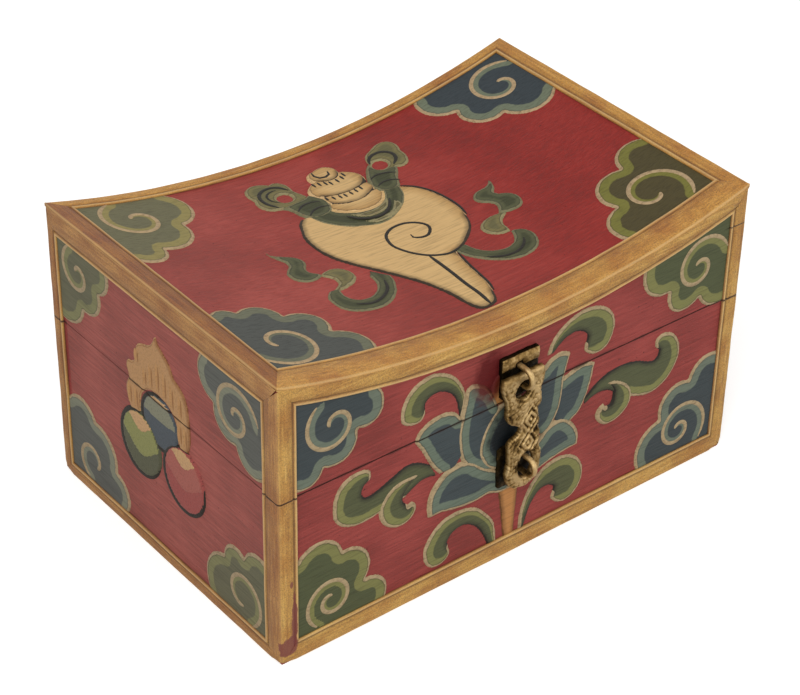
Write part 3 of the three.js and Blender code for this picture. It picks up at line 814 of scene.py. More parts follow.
def painted(name, rim_colour, light, dark, ink_colour, light_to=4.0, share=2.0, rim_to=1.25, soft=0.2, ink_to=0.7,
            brushed="X"):
    """Paint that follows the distances from a motif's rim and ink, in millimetres. Under a share of 1 the light
    band also stops at that share of the way to the ink."""
    material, tree, shader = new_material(name)

    def maths(operation, first, second=0.5):
        return add_node(tree, "Math", {0: first, 1: second}, operation=operation).outputs[0]

    place = add_node(tree, "TexCoord").outputs["Object"]
    wander = add_node(tree, "TexNoise", {"Vector": place, "Scale": 1 / (3.2 * MM), "Detail": 4, "Roughness": 0.65})
    shift = maths("MULTIPLY", maths("SUBTRACT", wander.outputs["Fac"]), 1.3)
    edge = maths("ADD", add_node(tree, "Attribute", attribute_name="rim_gap").outputs["Fac"], shift)
    inked = maths("ADD", add_node(tree, "Attribute", attribute_name="ink_gap").outputs["Fac"], shift)
    around = add_node(tree, "Attribute", attribute_name="spiral_gap").outputs["Fac"]
    core = mask(tree, edge, light_to - soft, light_to + soft)
    if share < 1:
        part = maths("DIVIDE", edge, maths("ADD", edge, inked))
        core = maths("MAXIMUM", core, mask(tree, part, share - 0.03, share + 0.03))
    core = maths("MULTIPLY", core, mask(tree, maths("ADD", around, maths("MULTIPLY", shift, 0.2)), 0.92, 1.06))
    colour = blend(tree, core, linear(light), linear(dark))
    shade = maths("MULTIPLY", mask(tree, inked, ink_to + 1.6, ink_to + 0.2), 0.55)
    colour = blend(tree, maths("MAXIMUM", shade, mask(tree, inked, ink_to + 0.25, ink_to - 0.25)), colour, linear(ink_colour))
    # A thin dark line inside the rim: dirt and painted shade at the foot of the raised rim.
    dirt_and_painted_shade = maths("MULTIPLY", mask(tree, edge, rim_to + 0.5, rim_to + 0.1), 0.6)
    colour = blend(tree, dirt_and_painted_shade, colour, linear(ink_colour))
    pale = mask(tree, edge, rim_to + 0.12, rim_to - 0.1)
    rubbed = add_node(tree, "TexNoise", {"Vector": place, "Scale": 1 / (1.4 * MM), "Detail": 5, "Roughness": 0.7})
    worn = mask(tree, rubbed.outputs["Fac"], 0.5, 0.68)
    rim_tone = blend(tree, maths("MULTIPLY", worn, 0.7), linear(rim_colour), linear("#7F6648"))
    colour = blend(tree, pale, colour, rim_tone)
    along = add_node(tree, "Mapping", {"Vector": place, "Scale": streak_scale(brushed)})
    streaks = add_node(tree, "TexNoise", {"Vector": along.outputs[0], "Scale": 1, "Detail": 5, "Roughness": 0.6})
    tint = add_node(tree, "ValToRGB", {"Fac": streaks.outputs["Fac"]})
    set_stops(tint, [(0.34, 0.72), (0.5, 0.95), (0.64, 1.0)])
    colour = blend(tree, 1.0, colour, tint.outputs[0], "MULTIPLY")
    tree.links.new(wear_seam_and_hasp_shadows(tree, place, colour), shader.inputs["Base Color"])
    shader.inputs["Roughness"].default_value = 0.56
    shader.inputs["Specular IOR Level"].default_value = 0.2
    crest = maths("MULTIPLY", mask(tree, edge, -0.3, 0.45), mask(tree, edge, 1.5, 0.9))
    height = maths("ADD", crest, maths("MULTIPLY", streaks.outputs["Fac"], 1.2))
    bump = add_node(tree, "Bump", {"Height": height, "Strength": 0.6, "Distance": 0.3 * MM})
    tree.links.new(bump.outputs[0], shader.inputs["Normal"])
    return material


def one_colour(name, colour):
    """A motif in one tone, with no pale rim."""
    return painted(name, colour, colour, colour, INK, rim_to=0)


CREAM = "#AE9874"
FINISHES = [
    painted("scroll leaf greens on gesso", CREAM, "#7E7D4A", "#535639", INK, 4.2, 0.42, ink_to=0.9),
    painted("cloud greens on gesso", CREAM, "#7C7B48", "#4E5336", INK, 5.0),
    # The top's two clouds at the left are paler, greyer copies, a painted sheen; the two at the right are deeper.
    painted("cloud greens of the top, paler with a painted sheen", "#BCA17B", "#968952", "#6D694C", INK, 5.0),
    painted("deeper cloud greens of the top", "#BCA17B", "#7A7636", "#4D4426", INK, 5.0),
    painted("cloud blues on gesso", CREAM, "#6A7363", "#3B4345", INK, 5.0),
    painted("cloud blues of the top, greyer with a painted sheen", "#BCA17B", "#6F705A", "#4E504B", INK, 5.0),
    painted("deeper cloud blues of the top", "#BCA17B", "#727963", "#353D41", INK, 5.0),
    painted("petal blues on gesso", CREAM, "#677363", "#3E4749", INK, 4.5),
    painted("cloud greens of the ends", "#A49070", "#7B7952", "#615F48", INK, 4.6, brushed="Y"),
    painted("cloud blues of the ends", "#A49070", "#7A7B68", "#575852", INK, 4.6, brushed="Y"),
    painted("ochre body colour on gesso", "#C2955E", "#B98650", "#B98048", "#6A4322", rim_to=0.6),
    painted("conch, warm white with ochre shade", "#E6C08B", "#C0965D", "#DCB57B", "#3A2F22", 3.2, 2, 0.6, 2.4, 1.2),
    painted("ribbon, dark olive", "#7F7C5C", "#56573A", "#3F4128", INK, 2.6, 2, 0.9, 0.5, 0.5),
    painted("ribbon, pale olive", "#9A9068", "#7C7248", "#696340", INK, 2.6, 2, 0.9, 0.5, 0.5),
    painted("flame gilding on gesso", "#BB9264", "#B3885B", "#B3885B", "#7A4A2A", rim_to=0.5, ink_to=0.5),
    one_colour("flame gilding, painted shade in its grooves", "#93673C"),
    one_colour("jewel blue", "#4B5156"),
    one_colour("jewel teal", "#7F7E69"),
    one_colour("jewel green", "#565641"),
    one_colour("jewel light green", "#868651"),
    one_colour("jewel red", "#974B45"),
    one_colour("jewel light red", "#A15B50"),
    one_colour("jewel highlight", "#BF976B"),
    one_colour("ink line", INK),
]
(LEAF, GREEN, SHEEN_PALE_GREEN, DEEP_GREEN, BLUE, SHEEN_GREY_BLUE, DEEP_BLUE, PETAL, END_GREEN, END_BLUE, OCHRE, SHELL, RIBBON,
 PALE_RIBBON, FLAME, FLAME_SHADE, JEWEL_BLUE, END_TEAL, JEWEL_GREEN, JEWEL_LIGHT_GREEN, JEWEL_RED, JEWEL_LIGHT_RED,
 CREAM_PAINT, INK_LINE) = range(len(FINISHES))
print("painted finishes:", len(FINISHES))

# %% [markdown]
# A face's ornament is one sheet of relief on the boards of case and lid, so it is cut at the gap between the two.
# The cut edge is turned down into the board.

# %% Cut the relief at the gap and hand it to its body
def cut_at(bm, height, keep_above, sink):
    """Removes what lies beyond a level and turns the cut edge down along the given direction."""
    side = "clear_inner" if keep_above else "clear_outer"
    geometry = [*bm.verts, *bm.edges, *bm.faces]
    result = bmesh.ops.bisect_plane(bm, geom=geometry, plane_co=(0, 0, height * MM), plane_no=(0, 0, 1), **{side: True})
    edges = [item for item in result["geom_cut"] if isinstance(item, bmesh.types.BMEdge) and item.link_faces]
    grown = bmesh.ops.extrude_edge_only(bm, edges=edges)
    new_verts = [item for item in grown["geom"] if isinstance(item, bmesh.types.BMVert)]
    bmesh.ops.translate(bm, verts=new_verts, vec=Vector(sink) * MM)


def hand_over(name, bm, materials, sink):
    """Splits a face's relief between the case and the lid."""
    lid = bm.copy()
    cut_at(bm, CASE_TOP, False, sink)
    cut_at(lid, LID_BOTTOM, True, sink)
    finish_piece(f"{name}_relief_on_case", bm, materials, "case", sharp=70, closed=False)
    finish_piece(f"{name}_relief_on_lid", lid, materials, "lid", sharp=70, closed=False)

# %% [markdown]
# ## The front: a lotus between scroll leaves
# The lotus has a pair of long petals either side of its heart, wide ones outside them and low ones in front.
# Eight leaves curl round it, and a cloud fills each corner of the field. Positions are in millimetres from the
# middle of the box and from its foot.

# %% Motifs of the long faces
FIELD_X = HALF_LENGTH - LEG_LONG
FIELD_LOW = BOTTOM_LONG


def front_corner(side, upper):
    """Turns distances from a corner of the long field into a position on it."""
    def corner(a, b):
        u = side * (FIELD_X - a)
        return (u, arch(u) - STRIP - GLUE - EDGE_LONG - b) if upper else (u, FIELD_LOW + b)
    return corner


def long_face_leaves():
    lower = [
        [rim((-26, 70.5), (-25, 79), (-27.5, 85.5), (-32, 90.5), (-38.5, 93.5), (-44.5, 93), (-49.5, 90),
             (-52.5, 84), (-52, 78.5), (-47.5, 76), (-43.5, 76.5), (-42, 79.5)),
         ink((-42, 79.5), (-42.5, 81.5), (-41.5, 84), (-37, 85), (-32, 82.5), (-29, 78), (-27.5, 70.5))],
        [rim((10.9, 79.6), (12.8, 84.5), (17.1, 88.9), (23.9, 92), (30.2, 92.3), (36.4, 90.1), (40.8, 85.8),
             (42.3, 80.8), (41.4, 75.9), (38.9, 72.1), (34.5, 70.9), (30.8, 72.1), (28.3, 74.6), (28.3, 76.9)),
         ink((28.3, 76.9), (29.5, 80.1), (27.7, 82.6), (23.9, 84.3), (19, 83.5), (16, 81.4), (14, 79.6))],
        [ink((29.9, 50.6), (34.9, 52.6), (40.9, 52.1), (46.9, 47.6)),
         rim((46.9, 47.6), (53.3, 44), (61.4, 41.5), (67.6, 42.7), (71.9, 45.9), (75.1, 50.9), (75.9, 55.9),
             (74.4, 60.9), (71.3, 64.6), (67.6, 66.1), (64.5, 65.6), (62.9, 63.4), (63.5, 61.1)),
         ink((63.5, 61.1), (65.2, 59.4), (64.9, 57.1), (63.3, 55.9), (60.2, 56.7), (55.2, 59), (48.9, 60.5),
             (41.4, 60.2), (35.2, 57.7), (29.9, 53.6))],
        [ink((-36.5, 50.2), (-42.9, 51.1), (-50.9, 47.1)),
         rim((-50.9, 47.1), (-62.2, 45.5), (-69.6, 44.9), (-76.4, 47.1), (-80.2, 52.1), (-80.2, 59.6),
             (-77.1, 65.2), (-72.1, 67.4), (-67.2, 67.1), (-64.7, 65.2), (-64.7, 62.1)),
         ink((-64.7, 62.1), (-67.8, 60.2), (-68.4, 57.1), (-66.5, 55.2), (-62.2, 55.9), (-55.9, 58.4),
             (-49.7, 60.6), (-44.7, 59.6), (-39.7, 56.5))],
        [rim((1.5, 8), (2.1, 14.7), (4, 21), (7.1, 26.6), (12.1, 31), (19, 32.6), (25.2, 31), (29.5, 27.2),
             (31.7, 21.6), (30.8, 16), (27.7, 12.2), (23.3, 10.7), (19, 12.2), (16.5, 15.3), (17.1, 17.2)),
         ink((17.1, 17.2), (17.8, 19.7), (15.3, 21.6), (11.5, 21.6), (7.8, 17.8), (5.9, 13.5), (4.3, 8))],
        [rim((-8.3, 8), (-9.8, 17.2), (-13.5, 22.8), (-18.5, 27.8), (-25.9, 30.1), (-33.4, 29.1), (-38.4, 25.3),
             (-41.5, 19.7), (-40.9, 13.5), (-37.2, 9.7), (-32.2, 10.1), (-29.7, 12.8), (-30.3, 16)),
         ink((-30.3, 16), (-30.9, 18.5), (-28.4, 21.6), (-23.4, 22.2), (-18.5, 19.1), (-14.8, 13.5),
             (-12.6, 8))],
    ]
    upper = [
        [rim((39.5, 55.9), (43.9, 55.6), (48.9, 52.7), (52, 49), (52.9, 44.6), (50.8, 40.2), (46.4, 37.5),
             (41.4, 37.1), (37.7, 39.6), (36, 43.4), (37.7, 46.1), (39.5, 46.9), (40.4, 45.2)),
         ink((40.4, 45.2), (42.7, 45.2), (43.9, 47.7), (43.9, 50.9), (42, 54), (39.5, 55.9))],
        [rim((-44, 55), (-50.9, 55.6), (-56.5, 54), (-60.7, 49), (-60.9, 43.4), (-57.8, 38.4), (-52.2, 35.9),
             (-47.2, 37.7), (-45.3, 41.5), (-47.2, 44), (-49, 43.4)),
         ink((-49, 43.4), (-51.2, 45.9), (-50.9, 49), (-48.4, 52.1), (-44, 55))],
    ]
    return lower, upper


def long_face_petals():
    """The petals in three layers, from the back one to the front one."""
    outer = [
        [rim((-46.5, 68.4), (-45.3, 71.5), (-40.9, 74.6), (-34.7, 75.5), (-29.7, 74), (-26.9, 70.9)),
         plain((-24, 66), (-24, 56), (-29, 50)),
         rim((-35.3, 50.2), (-38.4, 54), (-40.9, 58.4), (-43.4, 63.4), (-46.5, 68.4))],
        [rim((33.9, 67.7), (30.2, 69), (25.2, 69), (19, 67.1)), plain((17, 60), (16, 46), (20, 43)),
         rim((23.9, 46.5), (27.7, 49), (30.8, 54.6), (32.7, 60.9), (33.9, 67.7))],
    ]
    tall = [
        [rim((-12.3, 40.9), (-19.8, 44.6), (-24.7, 49.6), (-26.9, 54.6), (-27.8, 60.9), (-27.4, 67.1),
             (-25.9, 74.6), (-24.7, 80.8)),
         rim((-24.7, 80.8), (-22.5, 81.8), (-19.8, 81), (-16, 78.4), (-12.9, 74), (-11, 70.2)),
         plain((-9, 60), (-9, 48))],
        [rim((21.8, 76.9), (17.8, 78.6), (12.8, 77.7), (9.6, 75.1)), plain((6, 66), (6, 54)),
         rim((10.3, 45.9), (14.6, 49), (17.8, 54.6), (19, 60.9), (19.4, 67.1), (20.5, 72.1), (21.8, 76.9))],
    ]
    front = [
        [rim((-5, 70), (-9.8, 67.7), (-14.1, 64), (-17.3, 58.4), (-18.5, 53.4), (-17.9, 49), (-14.8, 44),
             (-9.8, 40.2), (-5, 38)),
         rim((-5, 38), (-0.2, 40.2), (4.8, 44), (7.9, 49), (8.5, 53.4), (7.3, 58.4), (4.1, 64), (-0.2, 67.7),
             (-5, 70))],
        [rim((-39.7, 33.5), (-40.3, 37.1), (-39.7, 42.1), (-37.2, 46.5), (-32.2, 50.2), (-25.9, 50.9),
             (-21, 49), (-16, 44.6), (-11, 41.5), (-5, 39)),
         plain((-4.5, 36)),
         rim((-5, 29.5), (-9, 29.9), (-13.5, 31.6), (-19.8, 31), (-28.4, 32), (-34.7, 33.5), (-39.7, 33.5))],
        [rim((27.7, 34.7), (27.7, 39.6), (25.2, 44.6), (21.5, 48.4), (17.1, 50), (12.1, 48.4), (8, 44.5),
             (1, 40), (-5, 39)),
         plain((-5.5, 36)),
         rim((-5, 29.5), (-1, 29.9), (5, 31), (10.3, 32.2), (15.3, 33.5), (21.5, 34.5), (27.7, 34.7))],
    ]
    return outer, tall, front


LONG_CLOUDS = [
    # side, upper, knots, bulges, finish, spiral
    (-1, True, ((33.8, 0), (24.8, 14.5), (11, 27.3), (0, 35)), (6, 5, 2.5), BLUE,
     ((-80.2, 91.4), 125, 540, 12, 1.7, 1)),
    (-1, False, ((37.3, 0), (28.5, 12), (18.9, 28.8), (0, 32.8)), (4.2, 6.4, 6.4), GREEN,
     ((-81.4, 18.5), 235, -280, 10.8, 2, 1)),
    (1, True, ((40.9, 0), (27.8, 16.2), (12.3, 27.7), (0, 37)), (4.6, 6, 2.2), GREEN,
     ((81.7, 88.5), 17, 505, 14, 2.4, 1.5)),
    (1, False, ((36.6, 0), (26.9, 18.1), (13.1, 30.6), (0, 38.1)), (5.2, 6.2, 3.5), BLUE,
     ((78.8, 18.5), -38, 520, 14.2, 1.9, 1.5)),
]


def add_clouds(bm, place, clouds, corner_of):
    for side, upper, knots, bulges, finish, curl in clouds:
        line = spiral(*curl)
        add_motif(bm, place, cloud(knots, bulges, corner_of(side, upper)), finish, swirl=(curl[0], line))
        add_ridge(bm, place, line, finish, RISE + 0.03)


def build_long_face(place):
    bm = relief_mesh()
    add_clouds(bm, place, LONG_CLOUDS, front_corner)
    lower, upper = long_face_leaves()
    for leaves, lift in ((lower, 0), (upper, 0.35)):
        for edges in leaves:
            add_motif(bm, place, edges, LEAF, lift)
    stem = [ink((-8.5, 30), (-7.3, 22.2), (-5.4, 8)), plain((-0.4, 8)), ink((-0.4, 8), (0.3, 22.2), (0.6, 30))]
    add_motif(bm, place, stem, OCHRE)
    seed_head = [ink((3.6, 69.5), (4, 75), (2.4, 79.5), (-1.2, 82.3), (-5, 83), (-8.8, 82.3), (-12.4, 79.5), (-14, 75),
                     (-13.6, 69.5)), plain((-5, 66))]
    add_motif(bm, place, seed_head, OCHRE)
    for petals, lift in zip(long_face_petals(), (0.05, 0.25, 0.5)):
        for edges in petals:
            add_motif(bm, place, edges, PETAL, lift)
    return bm


def on_front(u, v, h):
    return (u, -BOARD_Y - h, v)


def on_back(u, v, h):
    return (-u, BOARD_Y + h, v)


for name, place, inward_y in (("front", on_front, 0.9), ("back", on_back, -0.9)):
    relief = build_long_face(place)
    print(name, "relief:", len(relief.faces), "faces")
    hand_over(name, relief, FINISHES, (0, inward_y, 0))


# %% [markdown]
# ## The top: a white conch tied with a ribbon
# The conch lies on the dished lid with its mouth towards the front. Its whorls are stacked from the widest to the
# cap, a green scarf passes under them, and its two ends curl out on either side. A cloud fills each corner.

# %% Motifs of the top
def top_corner(side, rear):
    """Turns distances from a corner of the top's field into a position on it."""
    edge_u = HALF_LENGTH - TOP_RIGHT if side > 0 else TOP_LEFT - HALF_LENGTH
    edge_v = HALF_DEPTH - TOP_BACK if rear else TOP_FRONT - HALF_DEPTH

    def corner(a, b):
        return (edge_u - side * a, edge_v - b if rear else edge_v + b)
    return corner


def conch():
    body = [
        ink((-24.8, 25.6), (-27.3, 23.1), (-29.5, 18.7), (-31.3, 15), (-32.3, 10.6), (-32.5, 5.7), (-32, 1.3),
            (-30.8, -3), (-27.3, -9.9), (-21.1, -19.8), (-15.7, -29.7), (-13, -36.6), (-11.6, -42.8), (-10.8, -49),
            (-10.1, -52.7), (-8.6, -55.2), (-6.5, -55.9), (-3.6, -55.5), (-1.1, -54.5), (0.7, -52), (2.2, -48.6)),
        rim((2.2, -48.6), (3.7, -43.9), (4.7, -37.1), (5.7, -30.2), (7.2, -23)),
        ink((7.2, -23), (12.7, -20.4), (19, -16.1), (22.8, -11.6), (25, -6.4)),
        rim((25, -6.4), (26.2, -0.1), (26, 7.3), (24.7, 14.2), (22.1, 19.7), (18.4, 23.7)),
        plain((12.7, 25.8), (0.2, 25.7), (-14.8, 26.8))]
    lowest = [
        rim((-11.3, 26.6), (-10.3, 23.4), (-7.3, 20.7), (-3.3, 18.7), (1.2, 18), (5.4, 18.7), (8.6, 20.6), (10.9, 23.8)),
        plain((10.7, 27.3), (-8.6, 28.7))]
    third = [
        rim((-9.1, 33.6), (-9.8, 30.6), (-9.5, 27.6)),
        ink((-9.5, 27.6), (-7.3, 25.9), (-3.6, 24.3), (1.4, 23.9), (5.8, 25), (9.9, 27.2)),
        rim((9.9, 27.2), (10.9, 29.5), (10.6, 33)), plain((0.8, 34.2))]
    second = [
        rim((-4.8, 44.3), (-7.6, 43.1), (-10.6, 40.3), (-11.5, 37.1), (-10.5, 34.3), (-8.6, 33.1)),
        ink((-8.6, 33.1), (-5.5, 31.5), (-1.7, 30.7), (2.7, 30.6), (7.1, 31.4), (10.2, 33.3), (11.5, 35.3)),
        rim((11.5, 35.3), (11.7, 38.5), (10.4, 41.5), (7.4, 44.4)), plain((1.4, 45))]
    cap = [
        rim((-4.3, 42.5), (-5.6, 44.6), (-5.6, 47.4), (-4.3, 49.5), (-1.6, 50.3), (2, 51.2), (4.9, 50.1), (6.6, 47.2),
            (6.2, 43.9)),
        ink((6.2, 43.9), (4.6, 41.5), (1.4, 40.4), (-1.7, 40.9), (-4.3, 42.5))]
    return body, [lowest, third, second, cap]


def ribbon_pieces():
    """The dark parts of the ribbon, each with the lift that lays it over or under its neighbours."""
    scarf = [
        rim((-21.8, 26.6), (-20.8, 22.8), (-19.6, 19.1), (-16.6, 15), (-12.6, 11.3), (-8.3, 9.3), (-4.2, 7.5),
            (0.2, 7.2), (5.2, 8.7), (11.5, 12.5), (15.8, 17.2), (17.7, 21.4), (18.2, 24)),
        plain((15.8, 25.9), (12.7, 27.1)),
        ink((10.9, 23.8), (8.9, 20.6), (5.4, 18.2), (1.2, 17.5), (-3.3, 18.2), (-7.3, 20.2), (-10.8, 23.1),
            (-12.1, 26.6)),
        plain((-16.1, 27.8))]
    left_knot = [
        rim((-25.8, 35.3), (-23.8, 33), (-23.1, 29.3), (-22.1, 26.1), (-19.3, 23.3), (-15.1, 22.9), (-11.6, 24.4),
            (-9.6, 27.9), (-9, 31.6), (-10.3, 34.9), (-12.3, 38.3)),
        ink((-12.3, 38.3), (-14.6, 36.8), (-19.8, 36), (-25.8, 35.3))]
    right_knot = [
        rim((18.1, 42.1), (15.7, 40.1), (13.7, 37.3), (12, 34.8), (10.7, 31.8), (9.9, 29), (10.4, 25.8),
            (12.5, 23.1), (17.7, 23.2), (20, 26.2), (21.5, 28.9), (23.8, 31.7), (25.5, 34.5)),
        ink((25.5, 34.5), (22.8, 35.7), (20, 35.9), (18, 38.6), (18.1, 42.1))]
    left_sweep = [
        plain((-25, -15)), ink((-20.6, -21.1), (-21.6, -24.8), (-24.8, -30.1)),
        rim((-24.8, -30.1), (-29.8, -34.4), (-35.4, -36.4), (-41, -36.1), (-45.9, -34.3), (-48.9, -30.9),
            (-49.5, -26.6), (-48.7, -22.6), (-45.7, -19.4)),
        plain((-40.7, -19.2)),
        ink((-40.7, -19.2), (-42.2, -21.9), (-42.2, -25.7), (-40, -28.4), (-36, -28.9), (-31.8, -27.2),
            (-28.3, -23.2), (-27.3, -18))]
    left_end = [
        rim((-49.6, 13.4), (-48.7, 10.1), (-45.9, 7.6), (-42.7, 5.6), (-40.8, 2.4), (-41.5, -0.7), (-43.3, -3),
            (-43.7, -5.8), (-41, -8.8), (-43, -10.5), (-46.2, -11.3), (-49.4, -10.5), (-51.6, -8), (-52.1, -4.5),
            (-50.3, -1.5), (-47.8, 0.7)),
        ink((-47.8, 0.7), (-47.3, 3.2), (-48.4, 6), (-49.5, 9.4), (-49.6, 13.4))]
    right_sweep = [
        rim((7.1, -21.7), (8.3, -26.5), (10.8, -30.9), (14.7, -35.2), (19.2, -38.3), (24.7, -39.8), (29.8, -38.9),
            (33.1, -36.6), (35.2, -32.8), (35.4, -29.1), (33.6, -25.9), (30.3, -24.2)),
        ink((30.3, -24.2), (29.1, -27.4), (26.5, -30.5), (22.8, -31.4), (19, -30.4), (16, -28.2), (14, -25.1),
            (12.7, -20.2))]
    right_end = [
        rim((33.6, -13.9), (36, -10.8), (36.5, -8.2), (35.4, -6.2), (33.5, -4.4), (32.5, -1.9), (33.8, 0.6),
            (36.6, 2.3), (40.4, 2.3), (42.9, 3.3), (44.7, 5.3)),
        ink((44.7, 5.3), (44.2, 2.4), (42.9, -0.5), (41, -2.4), (41.7, -4.2)),
        rim((41.7, -4.2), (44.3, -6.1), (45.8, -8.8), (45.6, -12.4), (43.9, -14.9), (41.2, -15.9), (37.9, -15.4),
            (33.6, -13.9))]
    under = ((left_sweep, 0), (right_sweep, 0), (left_end, 0.1), (right_end, 0.1))
    return under, ((scarf, 0.35), (left_knot, 0.5), (right_knot, 0.5))


def pale_ribbon():
    """The lighter folds and bows, with the middle of the hole in each bow."""
    left_fold = [
        rim((-42.2, -9.5), (-39.5, -7.9), (-35.3, -7.5), (-32.2, -9.5), (-30.8, -13.2), (-31.8, -16.3),
            (-34.5, -18.7), (-37.7, -19.9), (-41, -20.7)),
        plain((-44.7, -20.1)),
        ink((-44.7, -20.1), (-41.7, -18.4), (-39.5, -16.5), (-39, -14), (-40, -12), (-42.2, -9.5))]
    right_fold = [
        rim((30.3, -24.7), (27, -24.2), (24, -22), (22.6, -18.8), (23.6, -15.7), (26.5, -13.8), (30.3, -13),
            (33.6, -13.6)),
        plain((36.6, -14.9)), ink((36.6, -14.9), (32.8, -17.2), (31.1, -19.7), (30.3, -24.7))]
    left_bow = [
        rim((-25.4, 35), (-28.3, 35.5), (-30.8, 37.2), (-32.2, 40.2), (-32, 42.7), (-31, 44.7), (-31.5, 47.9),
            (-30.8, 51.2), (-29, 53.4), (-26.6, 54.5), (-23.8, 54.5), (-21.3, 53.4), (-19.6, 52.1), (-17.8, 52.7),
            (-15.8, 51.7), (-14.5, 49.5), (-14.1, 46.5), (-14.6, 44), (-13.8, 41.5), (-12.8, 38.5)),
        plain((-14.8, 35.5), (-21.1, 33))]
    right_bow = [
        rim((17.7, 39.3), (18.5, 42.3), (19.5, 45.6), (21.5, 48.2), (24.5, 49.6), (27, 50.9), (30.3, 51.6),
            (33, 50.5), (34.5, 47.8), (34.4, 44.8), (33.2, 42.1), (33.2, 39.3), (32.2, 36.3), (30.3, 34),
            (27.8, 33.3), (25.3, 34.5)),
        plain((21.5, 34.4))]
    sashes = [
        [rim((-8.6, 18.7), (-3.6, 16.7), (2.7, 16.6), (9.4, 19.8)),
         rim((9.4, 19.8), (7.7, 16.1), (3.7, 13.6), (-1.1, 13), (-5.5, 14.7), (-8.6, 18.7))],
        [rim((-6.6, 12), (-1.1, 10.8), (5.8, 12.1), (10.4, 16.9)),
         rim((10.4, 16.9), (11.5, 13.4), (5.8, 9.8), (0.2, 8.3), (-4.2, 9), (-6.6, 12))]]
    loops = ((left_fold, None), (right_fold, None), (left_bow, (-20.4, 41.1)), (right_bow, (21.5, 39.4)))
    return loops, sashes


PEN_LINES = [
    # round the conch's far side and down its snout
    (0.16, 0.7, ((25.2, -6.4), (26.5, -0.1), (26.3, 7.3), (25, 14.2), (22.4, 19.7), (18.7, 23.7))),
    (0.16, 0.7, ((2.5, -48.6), (4, -43.9), (5, -37.1), (6, -30.2), (7.5, -23))),
    # on the conch: the curl of its mouth, the slit and the swirl of the cap
    (0.48, 0.9, ((9.9, -21.2), (5.2, -22.1), (1.2, -20.9), (-2.6, -18.3), (-5.7, -14.4), (-7.6, -10.4), (-8.5, -6.7),
                 (-7.8, -3), (-6.1, 0.2), (-2.3, 2.6), (2.2, 3.1), (5.7, 2), (8.4, -0.3), (9.7, -3.1), (8.9, -5.8),
                 (6.2, -8.2), (3.2, -8.1), (0.9, -6.4), (1.2, -4.4))),
    (0.48, 1.1, ((-2.2, -19.1), (-2.3, -25.3), (-2.6, -32.8), (-3.1, -40.2), (-3.2, -47.7), (-4.1, -54.9))),
    (1.14, 1.0, ((-2.6, 49.3), (-3.1, 46.8), (-2.1, 44.7), (0.2, 44.1), (2.2, 44.9), (2.9, 46.9))),
    # on the ribbon: the creases of the knots, the sash's fold and the rings of the bows
    (0.84, 0.8, ((-22.5, 30), (-19, 32.5), (-15, 33), (-11.5, 31.8))),
    (0.84, 0.8, ((-20.5, 25.5), (-17, 28), (-13.5, 28.5), (-10.5, 27.5))),
    (0.84, 0.8, ((12.2, 32.8), (15, 34), (19, 33.2), (22.5, 31))),
    (0.84, 0.8, ((11.5, 27.5), (14.5, 28.8), (18, 28.2), (20.5, 26.2))),
    (1.02, 0.9, ((-10.1, 17.9), (-7.3, 14), (-3, 11.8), (1.7, 11.5), (6.2, 14.1), (9.7, 18.6))),
    (0.62, 1.1, ((-26.3, 36.2), (-28.5, 40), (-28.7, 44.5), (-26.3, 48.2), (-21.8, 49.7), (-18.1, 48.2), (-16.1, 44.7))),
    (0.62, 0.7, ((-23.8, 39), (-25.8, 41.2), (-25.8, 44.7), (-23.3, 46.9), (-20.1, 47.2))),
    (0.62, 1.1, ((18.5, 41.6), (20, 44.3), (23, 46.1), (26.8, 45.7), (29.2, 42.7), (28.6, 39), (25.3, 36))),
    (0.48, 0.9, ((-24.8, -22.9), (-27.3, -27.9), (-32.3, -31.6), (-37.9, -32.9), (-42.8, -30.9))),
    (0.48, 0.9, ((13.3, -32), (18.4, -35.3), (24, -36), (28.4, -33.9), (30.6, -31.2))),
]
UPPER_TICKS = ((-7, 42.3), (-4.8, 41.9), (-2.6, 41.1), (-0.9, 40.1), (2, 40.1), (4.6, 40.8), (6.3, 42.2))
LOWER_TICKS = ((-8.6, 32.1), (-6.2, 31.1), (-3.7, 30.5), (-1.6, 30.2), (1, 30.2), (3.4, 30.5), (5.9, 31))
TOP_CLOUDS = [
    (-1, True, ((36.9, 0), (30.9, 21.9), (13.8, 36), (0, 41.3)), (6.8, 6.2, 4.8), SHEEN_PALE_GREEN,
     ((-77.4, 49.6), 106, 500, 13.9, 1.9)),
    (1, True, ((40.6, 0), (33.1, 16.5), (21.3, 30.6), (0, 35)), (4.8, 6.2, 6.2), DEEP_BLUE,
     ((84.9, 47.2), 39, 440, 13.8, 1.5)),
    (-1, False, ((40, 0), (33.3, 15.8), (24.1, 30.3), (10.1, 37.5), (0, 38.3)), (4.5, 6.6, 5.2, 2.6), SHEEN_GREY_BLUE,
     ((-81.7, -42.4), 207, 570, 15, 2.6)),
    (1, False, ((41.1, 0), (31.6, 16), (16.1, 31.3), (0, 38.5)), (5, 8, 5), DEEP_GREEN,
     ((78.9, -44.6), -52, 310, 14.7, 2.6)),
]


def on_top(u, v, h):
    return (u, v, arch(u) - STRIP - GLUE + h)


def round_hole(centre, radius=3):
    return [(centre[0] + radius * math.cos(math.radians(angle)), centre[1] + radius * math.sin(math.radians(angle)))
            for angle in range(0, 360, 20)]


def outlined(edges):
    """The same edges with the pale rim all round."""
    return [("rim", points) if kind == "ink" else (kind, points) for kind, points in edges]


